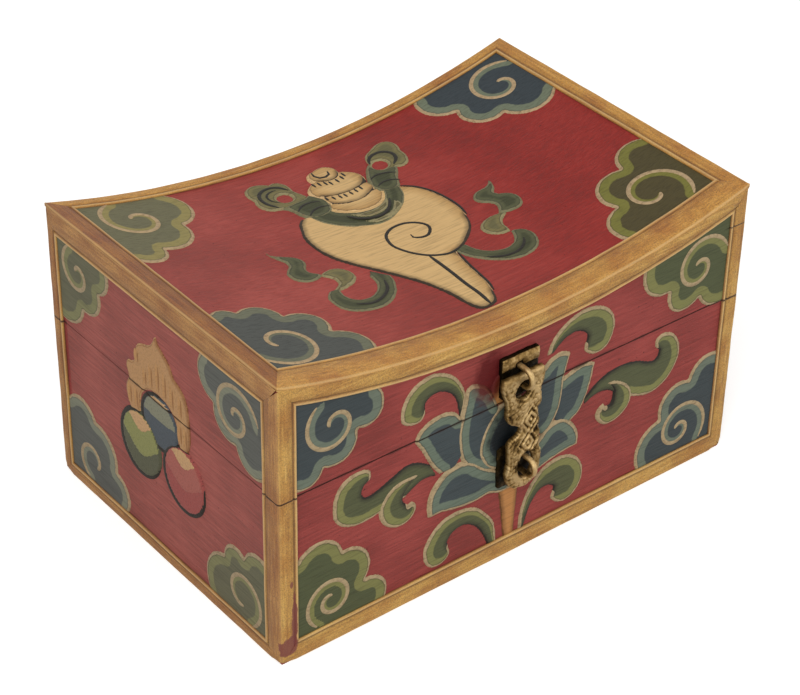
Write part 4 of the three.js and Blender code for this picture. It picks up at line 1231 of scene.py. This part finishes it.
def build_top():
    bm = relief_mesh()
    add_clouds(bm, on_top, TOP_CLOUDS, top_corner)
    under, over = ribbon_pieces()
    for edges, lift in under:
        add_motif(bm, on_top, outlined(edges), RIBBON, lift)
    loops, sashes = pale_ribbon()
    for edges, hole in loops:
        add_motif(bm, on_top, outlined(edges), PALE_RIBBON, 0.15, hole=hole and round_hole(hole))
    body, whorls = conch()
    add_motif(bm, on_top, body, SHELL)
    for edges, lift in over:
        add_motif(bm, on_top, outlined(edges), RIBBON, lift - 0.1)
    for edges in sashes:
        add_motif(bm, on_top, edges, PALE_RIBBON, 0.88, rise=0.08)
    for edges, lift in zip(whorls, (0.3, 0.42, 0.54, 0.66)):
        add_motif(bm, on_top, edges, SHELL, lift)
    for height, width, points in PEN_LINES:
        add_ridge(bm, on_top, smooth(points), INK_LINE, height + 0.06, width * 1.35, 0.14)
    for ticks, length, height in ((UPPER_TICKS, -2.9, 1.08), (LOWER_TICKS, -2.6, 0.96)):
        for x, y in ticks:
            add_ridge(bm, on_top, [(x, y + 0.9 + length * share) for share in (0, 0.3, 0.6, 1)], INK_LINE, height, 1.3, 0.14)
    return bm


relief = build_top()
print("top relief:", len(relief.faces), "faces")
finish_piece("top_relief_on_lid", relief, FINISHES, "lid", sharp=70, closed=False)

# %% [markdown]
# ## The ends: three jewels in a flame
# Each end shows three jewels, two below and one behind them, with a grooved golden flame over the upper one.
# A jewel is a dark disc with a lit one over it, set a little higher, and two lenses of light near its top.
# The left end is the one in the picture, the right end repeats it in mirror image.

# %% Motifs of the ends
def end_corner(side, upper):
    """Turns distances from a corner of an end's field into a position, with the front of the box at +u."""
    edge = HALF_DEPTH - (LEG_FRONT if side > 0 else LEG_BACK)
    top = arch(BOARD_X) - STRIP - GLUE - EDGE_END

    def corner(a, b):
        return (side * (edge - a), top - b if upper else BOTTOM_END + b)
    return corner


END_CLOUDS = [
    (-1, True, ((31.8, 0), (25.9, 11.6), (15, 23.8), (0, 33.8)), (2.7, 4.5, 3.6), END_GREEN,
     ((-50.3, 95.7), 119, 510, 10.3, 1)),
    (1, True, ((34.4, 0), (28.1, 16.5), (15.3, 26.9), (0, 32.5)), (5, 4.6, 4.3), END_BLUE,
     ((44.4, 90.3), 13, 540, 13.5, 0.8)),
    (-1, False, ((36.9, 0), (30.6, 13.8), (17.5, 28.8), (0, 30.6)), (4, 5.1, 4.8), END_BLUE,
     ((-47.8, 15.5), 250, -43, 9.3, 3.1)),
    (1, False, ((33.8, 0), (24.4, 21), (12.5, 27.3), (0, 32.5)), (5.7, 4.2, 2.9), END_GREEN,
     ((46.3, 16.2), -61, 275, 11.5, 4.5)),
]
FLAME_OUTLINE = [
    ink((-1.7, 95.7), (-0.5, 93.4), (3.1, 90.9), (6.1, 88.4), (7.5, 86), (8.6, 84.2), (11.4, 83), (14.1, 81),
        (15.7, 78.4), (16.5, 75.6), (16.9, 72.2), (17.2, 68.1), (17.2, 63.9), (16.5, 59.8), (15.4, 57.1)),
    plain((10.3, 56)), rim((9.8, 59.8), (9.4, 63.1), (8.3, 66.4), (6.4, 68.9), (3.1, 70.9), (-2.1, 71.6), (-6.9, 70.9),
                           (-10.2, 68.9), (-12.5, 66.3), (-13.5, 62.3), (-13.7, 57.4)),
    plain((-19.7, 56)),
    rim((-21.6, 59.8), (-22.5, 63.1), (-21.9, 66.3), (-20.2, 69.3), (-20.5, 71), (-21.6, 73.7), (-20.6, 76.4),
        (-18.1, 77.2), (-16, 78.9), (-15.2, 82.2), (-14.8, 85.1), (-13.3, 86.9), (-10.2, 88.4), (-6.7, 89.7),
        (-4.3, 92.2), (-3, 95), (-1.7, 95.7)),
]
GROOVES = [
    # u, upper end, lower end
    (-14.8, 84.3, 78.9), (-10.3, 78.7, 71.6), (-6.5, 82.4, 72.4), (-2.3, 85.3, 73), (1.9, 83.4, 72.4),
    (6.2, 80.7, 71), (11, 79, 70), (-20.3, 67.5, 58.9), (-16.5, 67.9, 58.9), (10.4, 67.9, 58.9), (13.5, 67.9, 58.9),
]
JEWELS = [
    # centre, half width, half height, base and light finish, shift of the lit part, sag of the two lenses
    ((-2.1, 59.8), 11.5, 11.8, JEWEL_BLUE, END_TEAL, 1.1, 1, 0.2),
    ((-14.8, 44), 12.8, 14.1, JEWEL_GREEN, JEWEL_LIGHT_GREEN, 1.2, 7, 4.5),
    ((12.1, 43.8), 12.8, 14, JEWEL_RED, JEWEL_LIGHT_RED, 0.8, 6, 4.5),
]


def disc_arc(centre, wide, high, start, end):
    """Points along an ellipse between two angles in degrees."""
    steps = max(int(abs(end - start) / 8), 2)
    points = []
    for step in range(steps + 1):
        angle = math.radians(start + (end - start) * step / steps)
        points.append((centre[0] + wide * math.cos(angle), centre[1] + high * math.sin(angle)))
    return points


def lens(centre, wide, high, start, end, sag):
    """The part of a disc above a sagging curve, between two angles on its rim."""
    over = disc_arc(centre, wide - 0.3, high - 0.3, start, end)
    middle = ((over[0][0] + over[-1][0]) / 2, (over[0][1] + over[-1][1]) / 2 - sag)
    return [plain(*over), ("plain", smooth([over[-1], middle, over[0]]))]


def build_end(place):
    bm = relief_mesh()
    add_clouds(bm, place, END_CLOUDS, end_corner)
    add_motif(bm, place, FLAME_OUTLINE, FLAME)
    for u, upper, lower in GROOVES:
        line = [(u, upper + (lower - upper) * share) for share in (0, 0.2, 0.4, 0.6, 0.8, 1)]
        add_ridge(bm, place, line, FLAME, RISE - 0.1, 1.9, 0.7, (3, FAR))
        # A darker strip beside each ridge: painted shade in the flame's groove.
        add_ridge(bm, place, [(u + 1.5, v - 0.4) for _, v in line], FLAME_SHADE, RISE, 1.3, 0.12, (3, FAR))
    for (u, v), wide, high, base, light, shift_u, light_sag, pale_sag in JEWELS:
        lift = 0.1 if base == JEWEL_BLUE else 0.3
        add_motif(bm, place, [plain(*disc_arc((u, v), wide, high, 0, 352))], INK_LINE, lift)
        lit = ((u + shift_u, v + 0.8), wide - 1.1, high - 1.2)
        layers = ((plain(*disc_arc(*lit, 0, 352)),), base), (lens(*lit, 8, 172, light_sag), light), (
            lens(*lit, 50, 130, pale_sag), CREAM_PAINT)
        for index, (edges, finish) in enumerate(layers):
            add_motif(bm, place, edges, finish, lift + RISE - 0.02 + 0.07 * index, rise=0.08)
    return bm


def on_left(u, v, h):
    return (-BOARD_X - h, -u, v)


def on_right(u, v, h):
    return (BOARD_X + h, -u, v)


for name, place, inward_x in (("left", on_left, 0.9), ("right", on_right, -0.9)):
    relief = build_end(place)
    if name == "right":
        bmesh.ops.reverse_faces(relief, faces=relief.faces)
    print(name, "relief:", len(relief.faces), "faces")
    hand_over(name, relief, FINISHES, (inward_x, 0, 0))

# %% [markdown]
# ## The hasp and the hinges: cast brass
# The hasp is a rough sand casting. Its raised parts are rubbed to a light brass and its hollows are nearly black
# with old polish and dirt. The casting keeps a share of wear at each vertex, and the hinges, which have none,
# get the patina alone.

# %% Brass
def cast_brass(name, tones, lump=2.2):
    material, tree, shader = new_material(name)
    place = add_node(tree, "TexCoord").outputs["Object"]
    grit = add_node(tree, "TexNoise", {"Vector": place, "Scale": 1 / (0.9 * MM), "Detail": 6, "Roughness": 0.7})
    cloudy = add_node(tree, "TexNoise", {"Vector": place, "Scale": 1 / (lump * MM), "Detail": 4})
    wear = add_node(tree, "Attribute", attribute_name="wear").outputs["Fac"]
    rough = add_node(tree, "Math", {0: grit.outputs["Fac"], 1: cloudy.outputs["Fac"]}, operation="ADD")
    part = add_node(tree, "Math", {0: rough.outputs[0], 1: 0.5, 2: -0.25}, operation="MULTIPLY_ADD")
    total = add_node(tree, "Math", {0: wear, 1: part.outputs[0]}, operation="ADD")
    tone = add_node(tree, "ValToRGB", {"Fac": total.outputs[0]})
    set_stops(tone, list(zip((0.2, 0.42, 0.62, 0.9), tones)))
    tree.links.new(tone.outputs[0], shader.inputs["Base Color"])
    shader.inputs["Metallic"].default_value = 1.0
    dull = add_node(tree, "MapRange", {"Value": total.outputs[0], "From Min": 0.2, "From Max": 0.9,
                                       "To Min": 0.7, "To Max": 0.48})
    tree.links.new(dull.outputs[0], shader.inputs["Roughness"])
    bump = add_node(tree, "Bump", {"Height": rough.outputs[0], "Strength": 0.7, "Distance": 0.4 * MM})
    tree.links.new(bump.outputs[0], shader.inputs["Normal"])
    return material


hasp_brass = cast_brass("antique cast brass, rubbed bright", ("#1A1207", "#5C4626", "#917547", "#C2A676"))
# The plates behind the strap and the head's sides are darkened with dirt and painted shade.
dirty_shaded_brass = cast_brass("cast brass, darkened with dirt and painted shade", ("#0A0804", "#171107", "#2A2010", "#5A4526"))
hinge_brass = cast_brass("dull brass sheet and wire", ("#4A3A1E", "#7A6334", "#94794A", "#A98D5A"), 6)
for name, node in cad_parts.items():
    if name.startswith("hinge"):
        node.data.materials.clear()
        node.data.materials.append(hinge_brass)
print("brass:", hasp_brass.name)

# %% [markdown]
# The castings take their outlines from the construction model, so the holes and the scallops stay where the
# joints need them. Over that outline lies a grid whose height falls off in a rounded edge, swells in a ridge
# round each eye, and carries two knots either side of the strap's waist.

# %% Outline of a plate
def front_loops(node):
    """The loops round a plate's front face, in millimetres, the outer one first."""
    bm = bmesh.new()
    bm.from_mesh(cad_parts[node].data)
    bmesh.ops.remove_doubles(bm, verts=bm.verts, dist=0.001 * MM)
    front = min(vert.co.y for vert in bm.verts)
    faces = {face for face in bm.faces if all(vert.co.y < front + 0.01 * MM for vert in face.verts)}
    edges = {edge for face in faces for edge in face.edges if len(faces.intersection(edge.link_faces)) == 1}
    loops = []
    while edges:
        loop = list(edges.pop().verts)
        step = True
        while step:
            step = next((edge for edge in loop[-1].link_edges if edge in edges), None)
            if step:
                edges.remove(step)
                loop.append(step.other_vert(loop[-1]))
        loops.append([(vert.co.x / MM, vert.co.z / MM) for vert in loop])
    bm.free()
    return sorted(loops, key=lambda loop: min(x for x, _ in loop)), front / MM


def nearest(x, y, pieces):
    """The nearest point of a line, and how far away it is."""
    best = (FAR, x, y)
    for ax, ay, dx, dy, size in pieces:
        t = min(max(((x - ax) * dx + (y - ay) * dy) / size, 0), 1)
        px, py = ax + t * dx, ay + t * dy
        best = min(best, (math.hypot(px - x, py - y), px, py))
    return best


# %% Sculpt a casting
CAST_CELL = 0.36
KNOTS = ((0.2, 61), (-0.7, 51.3))


def knot(x, z):
    """Nested lozenges, as a height from -1 to 1 that fades outwards."""
    height = 0
    for centre_x, centre_z in KNOTS:
        ring = abs(x - centre_x) / 4.6 + abs(z - centre_z) / 6.2
        height += math.cos(2 * math.pi * ring * 2) * min(max(1.25 - ring, 0) * 4, 1)
    return height


def casting(name, loops, front, thickness, shape, materials, body, replaces):
    """A plate that is sculpted on its front. The shape gives (height, wear) from x, z and the depth inside."""
    outline = [piece for loop in loops for piece in segments([*loop, loop[0]])]
    low_x = min(x for x, _ in loops[0]) - CAST_CELL
    low_z = min(z for _, z in loops[0]) - CAST_CELL
    columns = int((max(x for x, _ in loops[0]) - low_x) / CAST_CELL) + 2
    rows = int((max(z for _, z in loops[0]) - low_z) / CAST_CELL) + 2
    bm = bmesh.new()
    layer = bm.verts.layers.float.new("wear")
    fronts, backs = {}, {}
    for column in range(columns):
        for row in range(rows):
            x, z = low_x + column * CAST_CELL, low_z + row * CAST_CELL
            gap, near_x, near_z = nearest(x, z, outline)
            if not inside(x, z, outline):
                if gap > CAST_CELL * 0.8:
                    continue
                x, z, gap = near_x, near_z, 0
            height, worn = shape(x, z, gap)
            x, z = x + 0.3 * lumpy(z, x), z + 0.3 * lumpy(x + 40, z)
            fronts[column, row] = bm.verts.new(Vector((x, front - height, z)) * MM)
            backs[column, row] = bm.verts.new(Vector((x, front + thickness, z)) * MM)
            fronts[column, row][layer] = worn
            backs[column, row][layer] = 0.1
    edges = {}
    for column, row in fronts:
        keys = [(column, row), (column + 1, row), (column + 1, row + 1), (column, row + 1)]
        if all(key in fronts for key in keys):
            bm.faces.new([fronts[key] for key in keys])
            bm.faces.new([backs[key] for key in reversed(keys)])
            for pair in zip(keys, keys[1:] + keys[:1]):
                edges[pair] = pair[::-1] not in edges and edges.get(pair, True)
                if not edges[pair]:
                    edges.pop(pair)
                    edges.pop(pair[::-1])
    for first, second in edges:
        bm.faces.new([fronts[second], fronts[first], backs[first], backs[second]]).material_index = len(materials) - 1
    return finish_piece(name, bm, materials, body, replaces, sharp=50)


def lumpy(x, z, size=2.4):
    return noise.noise(Vector((x, z, 3.7)) / size)


def curly(x, z):
    """Thin creases, as the sand leaves them."""
    return min(3 * abs(lumpy(x, z, 2.1)), 0.6) + 0.5 * min(3 * abs(lumpy(z, x, 1.1)), 0.6) - 0.6


def strap_shape(x, z, gap):
    top_fade = min(max((STRAP_TOP - z) / 4, 0), 1)
    edge = 0.8 * (1 - min(gap / 0.9, 1)) ** 2
    scallop = 0.16 * math.cos(2 * math.pi * gap / 1.7) * max(1 - gap / 3.4, 0)
    middle = min(max((gap - 0.3) / 1, 0), 1)
    carved = knot(x, z) * middle
    relief = (scallop + 0.42 * carved + 0.5 * curly(x, z) + 0.4 * lumpy(x, z, 5)) * top_fade
    return relief - edge, min(max(0.42 + 0.95 * relief + 0.25 * lumpy(x, z, 6), 0), 1)


def head_shape(x, z, gap):
    edge = 1.1 * (1 - min(gap / 1.6, 1)) ** 2
    relief = 0.3 * curly(x, z) + 0.35 * lumpy(x, z, 4)
    return relief - 0.25 - edge, min(max(0.3 + 0.8 * relief, 0), 1)


def plate_shape(x, z, gap):
    edge = 0.5 * (1 - min(gap / 0.9, 1)) ** 2
    return 0.25 * lumpy(x, z) - edge, 0.3 + 0.3 * lumpy(x, z, 4)


def rounded(low_x, high_x, low_z, high_z, cut=1.2):
    """A rectangle with its corners cut off."""
    return [(low_x + cut, low_z), (high_x - cut, low_z), (high_x, low_z + cut), (high_x, high_z - cut),
            (high_x - cut, high_z), (low_x + cut, high_z), (low_x, high_z - cut), (low_x, low_z + cut)]


HEAD_LEFT = -10.6
HEAD_TOP = 87.4
HEAD_THINNER = 1.4
strap_loops, strap_front = front_loops("hasp_strap")
STRAP_TOP = max(z for _, z in strap_loops[0])
strap_thickness = node_box("hasp_strap")[1].y - strap_front
casting("hasp_strap_casting", strap_loops, strap_front, strap_thickness, strap_shape, [hasp_brass], "hasp",
        ["hasp_strap"])
head_loops, head_front = front_loops("hasp_lid_plate")
head_loops[0] = [(max(x, HEAD_LEFT), min(z, HEAD_TOP)) for x, z in head_loops[0]]
head_front += HEAD_THINNER
# The head's sides and both plates take the brass darkened with dirt and painted shade.
casting("hasp_head_casting", head_loops, head_front, -BOARD_Y - head_front, head_shape, [hasp_brass, dirty_shaded_brass], "lid",
        ["hasp_lid_plate"])
plate_low, plate_high = node_box("hasp_lid_plate")
casting("hasp_lid_plate_casting", [rounded(HEAD_LEFT, plate_high.x - 0.1, plate_low.z + 0.1, HEAD_TOP)], -BOARD_Y - 2, 2,
        plate_shape, [dirty_shaded_brass], "lid", [])
plate_low, plate_high = node_box("hasp_case_plate")
casting("hasp_case_plate_casting", [rounded(plate_low.x + 0.1, plate_high.x - 0.1, plate_low.z + 0.1, plate_high.z - 0.1)],
        -BOARD_Y - 1.9, 1.9, plate_shape, [dirty_shaded_brass], "case", ["hasp_case_plate"])


# %% [markdown]
# The two staples are loops of flattened wire, rubbed bright on their outer side. Each follows the same path as in
# the construction model: out from the plate, round a half circle, and back.

# %% Staples
def add_staple(name, node, body):
    low, high = node_box(node)
    wire = (high.x - low.x) / 2 + 0.05
    middle_x, middle_z = (low.x + high.x) / 2, (low.z + high.z) / 2
    radius = (high.z - low.z) / 2 - wire
    centre_y = low.y + radius + wire
    path = [(high.y, radius, 0, 1), (centre_y + 0.01, radius, 0, 1)]
    for step in range(1, 16):
        angle = math.pi * step / 16
        path.append((centre_y - radius * math.sin(angle), radius * math.cos(angle), -math.sin(angle), math.cos(angle)))
    path += [(centre_y + 0.01, -radius, 0, -1), (high.y, -radius, 0, -1)]
    bm = bmesh.new()
    layer = bm.verts.layers.float.new("wear")
    rings = []
    for y, z, out_y, out_z in path:
        ring = []
        for step in range(12):
            angle = 2 * math.pi * step / 12
            side = 1.05 * math.copysign(abs(math.cos(angle)) ** 0.7, math.cos(angle))
            out = (wire - 0.12) * math.copysign(abs(math.sin(angle)) ** 0.8, math.sin(angle))
            vert = bm.verts.new(Vector((middle_x + side, y + out * out_y, middle_z + z + out * out_z)) * MM)
            vert[layer] = 0.35 + 0.35 * math.sin(angle)
            ring.append(vert)
        rings.append(ring)
    loft(bm, rings)
    finish_piece(name, bm, [hasp_brass], body, [node], sharp=60)


add_staple("hasp_lid_staple_loop", "hasp_lid_staple", "lid")
add_staple("hasp_case_staple_loop", "hasp_case_staple", "case")
print("hasp: strap, head, two plates and two staples")

# %% [markdown]
# ## The lining
# A piece of dark red wool felt lies on the base board. It was cut a little small and its edges are soft.

# %% Felt
def add_felt():
    material, tree, shader = new_material("dark red wool felt")
    place = add_node(tree, "TexCoord").outputs["Object"]
    fibre = add_node(tree, "TexNoise", {"Vector": place, "Scale": 1 / (0.8 * MM), "Detail": 6, "Roughness": 0.75})
    tone = add_node(tree, "ValToRGB", {"Fac": fibre.outputs["Fac"]})
    set_stops(tone, [(0.35, "#481A1B"), (0.65, "#66292A")])
    tree.links.new(tone.outputs[0], shader.inputs["Base Color"])
    shader.inputs["Roughness"].default_value = 0.95
    shader.inputs["Specular IOR Level"].default_value = 0.1
    bump = add_node(tree, "Bump", {"Height": fibre.outputs["Fac"], "Strength": 0.6, "Distance": 0.3 * MM})
    tree.links.new(bump.outputs[0], shader.inputs["Normal"])
    low, high = node_box("base_lining")
    bm = bmesh.new()
    rings = []
    for share in even_stations(60):
        x = share * (high.x - 0.3)
        ring = []
        across = even_stations(36)
        for side in across:
            y = side * (high.y - 0.3)
            rim_gap = min(high.x - abs(x), high.y - abs(y))
            drop = 0.5 * (1 - min(rim_gap / 2, 1)) ** 2
            ring.append((x, y, high.z - 0.12 - drop + 0.1 * noise.noise(Vector((x, y, 0)) / 7)))
        ring += [(x, side * (high.y - 0.3), low.z + 0.05) for side in reversed(across)]
        rings.append([bm.verts.new(Vector(point) * MM) for point in ring])
    loft(bm, rings)
    felt = finish_piece("felt_lining", bm, [material], "case", ["base_lining"], sharp=60)


add_felt()
print("felt lining laid")

# %% [markdown]
# ## Floor, light and camera
# A pale floor and a large soft lamp on each side, as in a product photograph. The camera stands to the left of
# the front and looks down on the box through a long lens.

# %% Stage
PAPER_GLOW = 0.46


def add_stage():
    bm = bmesh.new()
    bmesh.ops.create_grid(bm, x_segments=1, y_segments=1, size=3)
    mesh = bpy.data.meshes.new("floor")
    bm.to_mesh(mesh)
    bm.free()
    floor = bpy.data.objects.new("floor", mesh)
    bpy.context.scene.collection.objects.link(floor)
    material, tree, shader = new_material("matt white backdrop paper")
    shader.inputs["Base Color"].default_value = linear("#F4F3F1")
    shader.inputs["Roughness"].default_value = 0.9
    shader.inputs["Emission Color"].default_value = linear("#FFFFFF")
    seen = add_node(tree, "LightPath").outputs["Is Camera Ray"]
    glow = add_node(tree, "Math", {0: seen, 1: PAPER_GLOW}, operation="MULTIPLY")
    tree.links.new(glow.outputs[0], shader.inputs["Emission Strength"])
    mesh.materials.append(material)


def add_lamp(name, position, size, power):
    lamp = bpy.data.lights.new(name, "AREA")
    lamp.shape = "DISK"
    lamp.size = size
    lamp.energy = power
    thing = bpy.data.objects.new(name, lamp)
    bpy.context.scene.collection.objects.link(thing)
    thing.location = position
    thing.rotation_euler = (-Vector(position)).to_track_quat("-Z", "Y").to_euler()


def add_world():
    world = bpy.data.worlds.new("white studio")
    bpy.context.scene.world = world
    world.use_nodes = True
    tree = world.node_tree
    background = tree.nodes["Background"]
    path = add_node(tree, "LightPath")
    seen = add_node(tree, "Math", {0: path.outputs["Is Camera Ray"], 1: path.outputs["Is Glossy Ray"]},
                    operation="MAXIMUM")
    strength = add_node(tree, "MapRange", {"Value": seen.outputs[0], "To Min": 0.5, "To Max": 1.0})
    tree.links.new(strength.outputs[0], background.inputs["Strength"])
    background.inputs["Color"].default_value = (1, 1, 1, 1)


CAMERA_AZIMUTH = -38.73
CAMERA_ELEVATION = 34.88
CAMERA_ROLL = 1.07
CAMERA_PLACE = (-452.6, -565.5, 554.8)
CAMERA_LENS = 109.06


def add_camera():
    data = bpy.data.cameras.new("camera")
    data.lens = CAMERA_LENS
    data.sensor_width = 36
    data.clip_start = 0.01
    camera = bpy.data.objects.new("camera", data)
    bpy.context.scene.collection.objects.link(camera)
    turn = Matrix.Rotation(math.radians(CAMERA_AZIMUTH), 4, "Z")
    tilt = Matrix.Rotation(math.radians(90 - CAMERA_ELEVATION), 4, "X")
    roll = Matrix.Rotation(math.radians(CAMERA_ROLL), 4, "Z")
    camera.matrix_world = Matrix.Translation(Vector(CAMERA_PLACE) * MM) @ turn @ tilt @ roll
    bpy.context.scene.camera = camera


add_stage()
add_lamp("key", (-0.9, -0.7, 1.2), 0.9, 11)
add_lamp("fill", (0.9, -1.1, 0.7), 1.2, 5)
add_world()
add_camera()
bpy.context.scene.view_settings.view_transform = "Standard"
